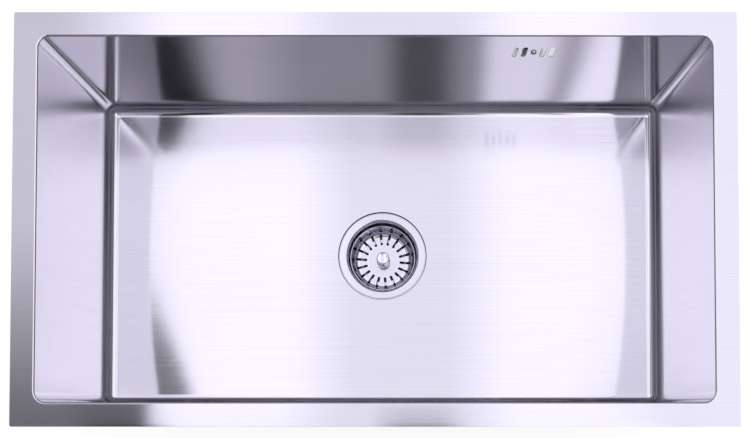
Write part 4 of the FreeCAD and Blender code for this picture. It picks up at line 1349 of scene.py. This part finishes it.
class SINK_OT_stage(bpy.types.Operator):
    """Sets up the pale floor, the sky, the lamps, the reflection cards and the camera"""
    bl_idname = "sink.stage"
    bl_label = "Stage"

    def execute(self, context):
        scene = context.scene
        wanted = scene.sink_stage
        scene.view_settings.view_transform = "Standard"
        low = CAD_BOX[0][2] - 0.0005
        floor = studio_material("floor", wanted.floor, 0.15)
        plane("floor", (-FLOOR_REACH, FLOOR_REACH), (-FLOOR_REACH, FLOOR_REACH), low, floor)
        material = card_material("card", wanted.card)
        for number, card in enumerate(CARDS):
            soft_card(number, *card, material)
        surround(SURROUND_REACH, low, SURROUND_TOP, SURROUND_LEVELS, material)
        world = bpy.data.worlds.new("studio sky")
        scene.world = world
        world.use_nodes = True
        nodes, links = world.node_tree.nodes, world.node_tree.links
        sky = nodes["Background"]
        sky.inputs["Color"].default_value = (*wanted.floor, 1)
        rays = nodes.new("ShaderNodeLightPath").outputs
        strength = nodes.new("ShaderNodeMix")
        strength.inputs[2].default_value = wanted.fill
        strength.inputs[3].default_value = 1.0
        links.new(strength.outputs[0], sky.inputs["Strength"])
        seen = rays["Is Camera Ray"]
        for ray in ("Is Glossy Ray", "Is Transmission Ray"):
            larger = nodes.new("ShaderNodeMath")
            larger.operation = "MAXIMUM"
            links.new(seen, larger.inputs[0])
            links.new(rays[ray], larger.inputs[1])
            seen = larger.outputs[0]
        links.new(seen, strength.inputs[0])

        lamp = bpy.data.lights.new("overhead_lamp", "AREA")
        lamp.shape = "RECTANGLE"
        lamp.size, lamp.size_y = LAMP_SIZE
        lamp.energy = wanted.lamp_power
        lamp_object = bpy.data.objects.new("overhead_lamp", lamp)
        lamp_object.location = LAMP_PLACE
        lamp_object.visible_glossy = False
        scene.collection.objects.link(lamp_object)

        camera = bpy.data.cameras.new("camera")
        camera.sensor_width = SENSOR_WIDTH
        camera.lens = wanted.lens
        camera.shift_x, camera.shift_y = CAMERA_SHIFT
        camera.clip_end = 50.0
        camera_object = bpy.data.objects.new("camera", camera)
        camera_object.location = CAMERA_PLACE
        camera_object.rotation_euler = (math.radians(CAMERA_TILT), 0.0, 0.0)
        scene.collection.objects.link(camera_object)
        scene.camera = camera_object
        return {"FINISHED"}


# The add-on ----------------------------------------------------------------------------------

GROUPS = {
    "sink_bowl": SinkBowlSizes,
    "sink_strainer": SinkStrainerSizes,
    "sink_waste": SinkWasteSizes,
    "sink_finishes": SinkFinishes,
    "sink_stage": SinkStage,
}
OPERATORS = (SINK_OT_stage, SINK_OT_bowl, SINK_OT_strainer_cup, SINK_OT_basket, SINK_OT_stopper,
             SINK_OT_waste, SINK_OT_overflow_housing, SINK_OT_overflow_hose, SINK_OT_sound_pads,
             SINK_OT_undercoat)


class SINK_PT_panel(bpy.types.Panel):
    """Lists the operators that build the sink"""
    bl_idname = "SINK_PT_panel"
    bl_label = "Kitchen Sink"
    bl_space_type = "VIEW_3D"
    bl_region_type = "UI"
    bl_category = "Sink"

    def draw(self, context):
        for operator in OPERATORS:
            self.layout.operator(operator.bl_idname)


def register():
    """Registers the classes and puts the settings on the scene."""
    for cls in (*GROUPS.values(), *OPERATORS, SINK_PT_panel):
        bpy.utils.register_class(cls)
    for name, group in GROUPS.items():
        setattr(bpy.types.Scene, name, PointerProperty(type=group))


def unregister():
    """Takes the settings and the classes away again."""
    for name in GROUPS:
        delattr(bpy.types.Scene, name)
    for cls in (SINK_PT_panel, *reversed(OPERATORS), *reversed(GROUPS.values())):
        bpy.utils.unregister_class(cls)


def main():
    """Builds everything in order."""
    register()
    for operator in OPERATORS:
        getattr(bpy.ops.sink, operator.bl_idname.split(".")[1])()


if __name__ == "__main__":
    main()
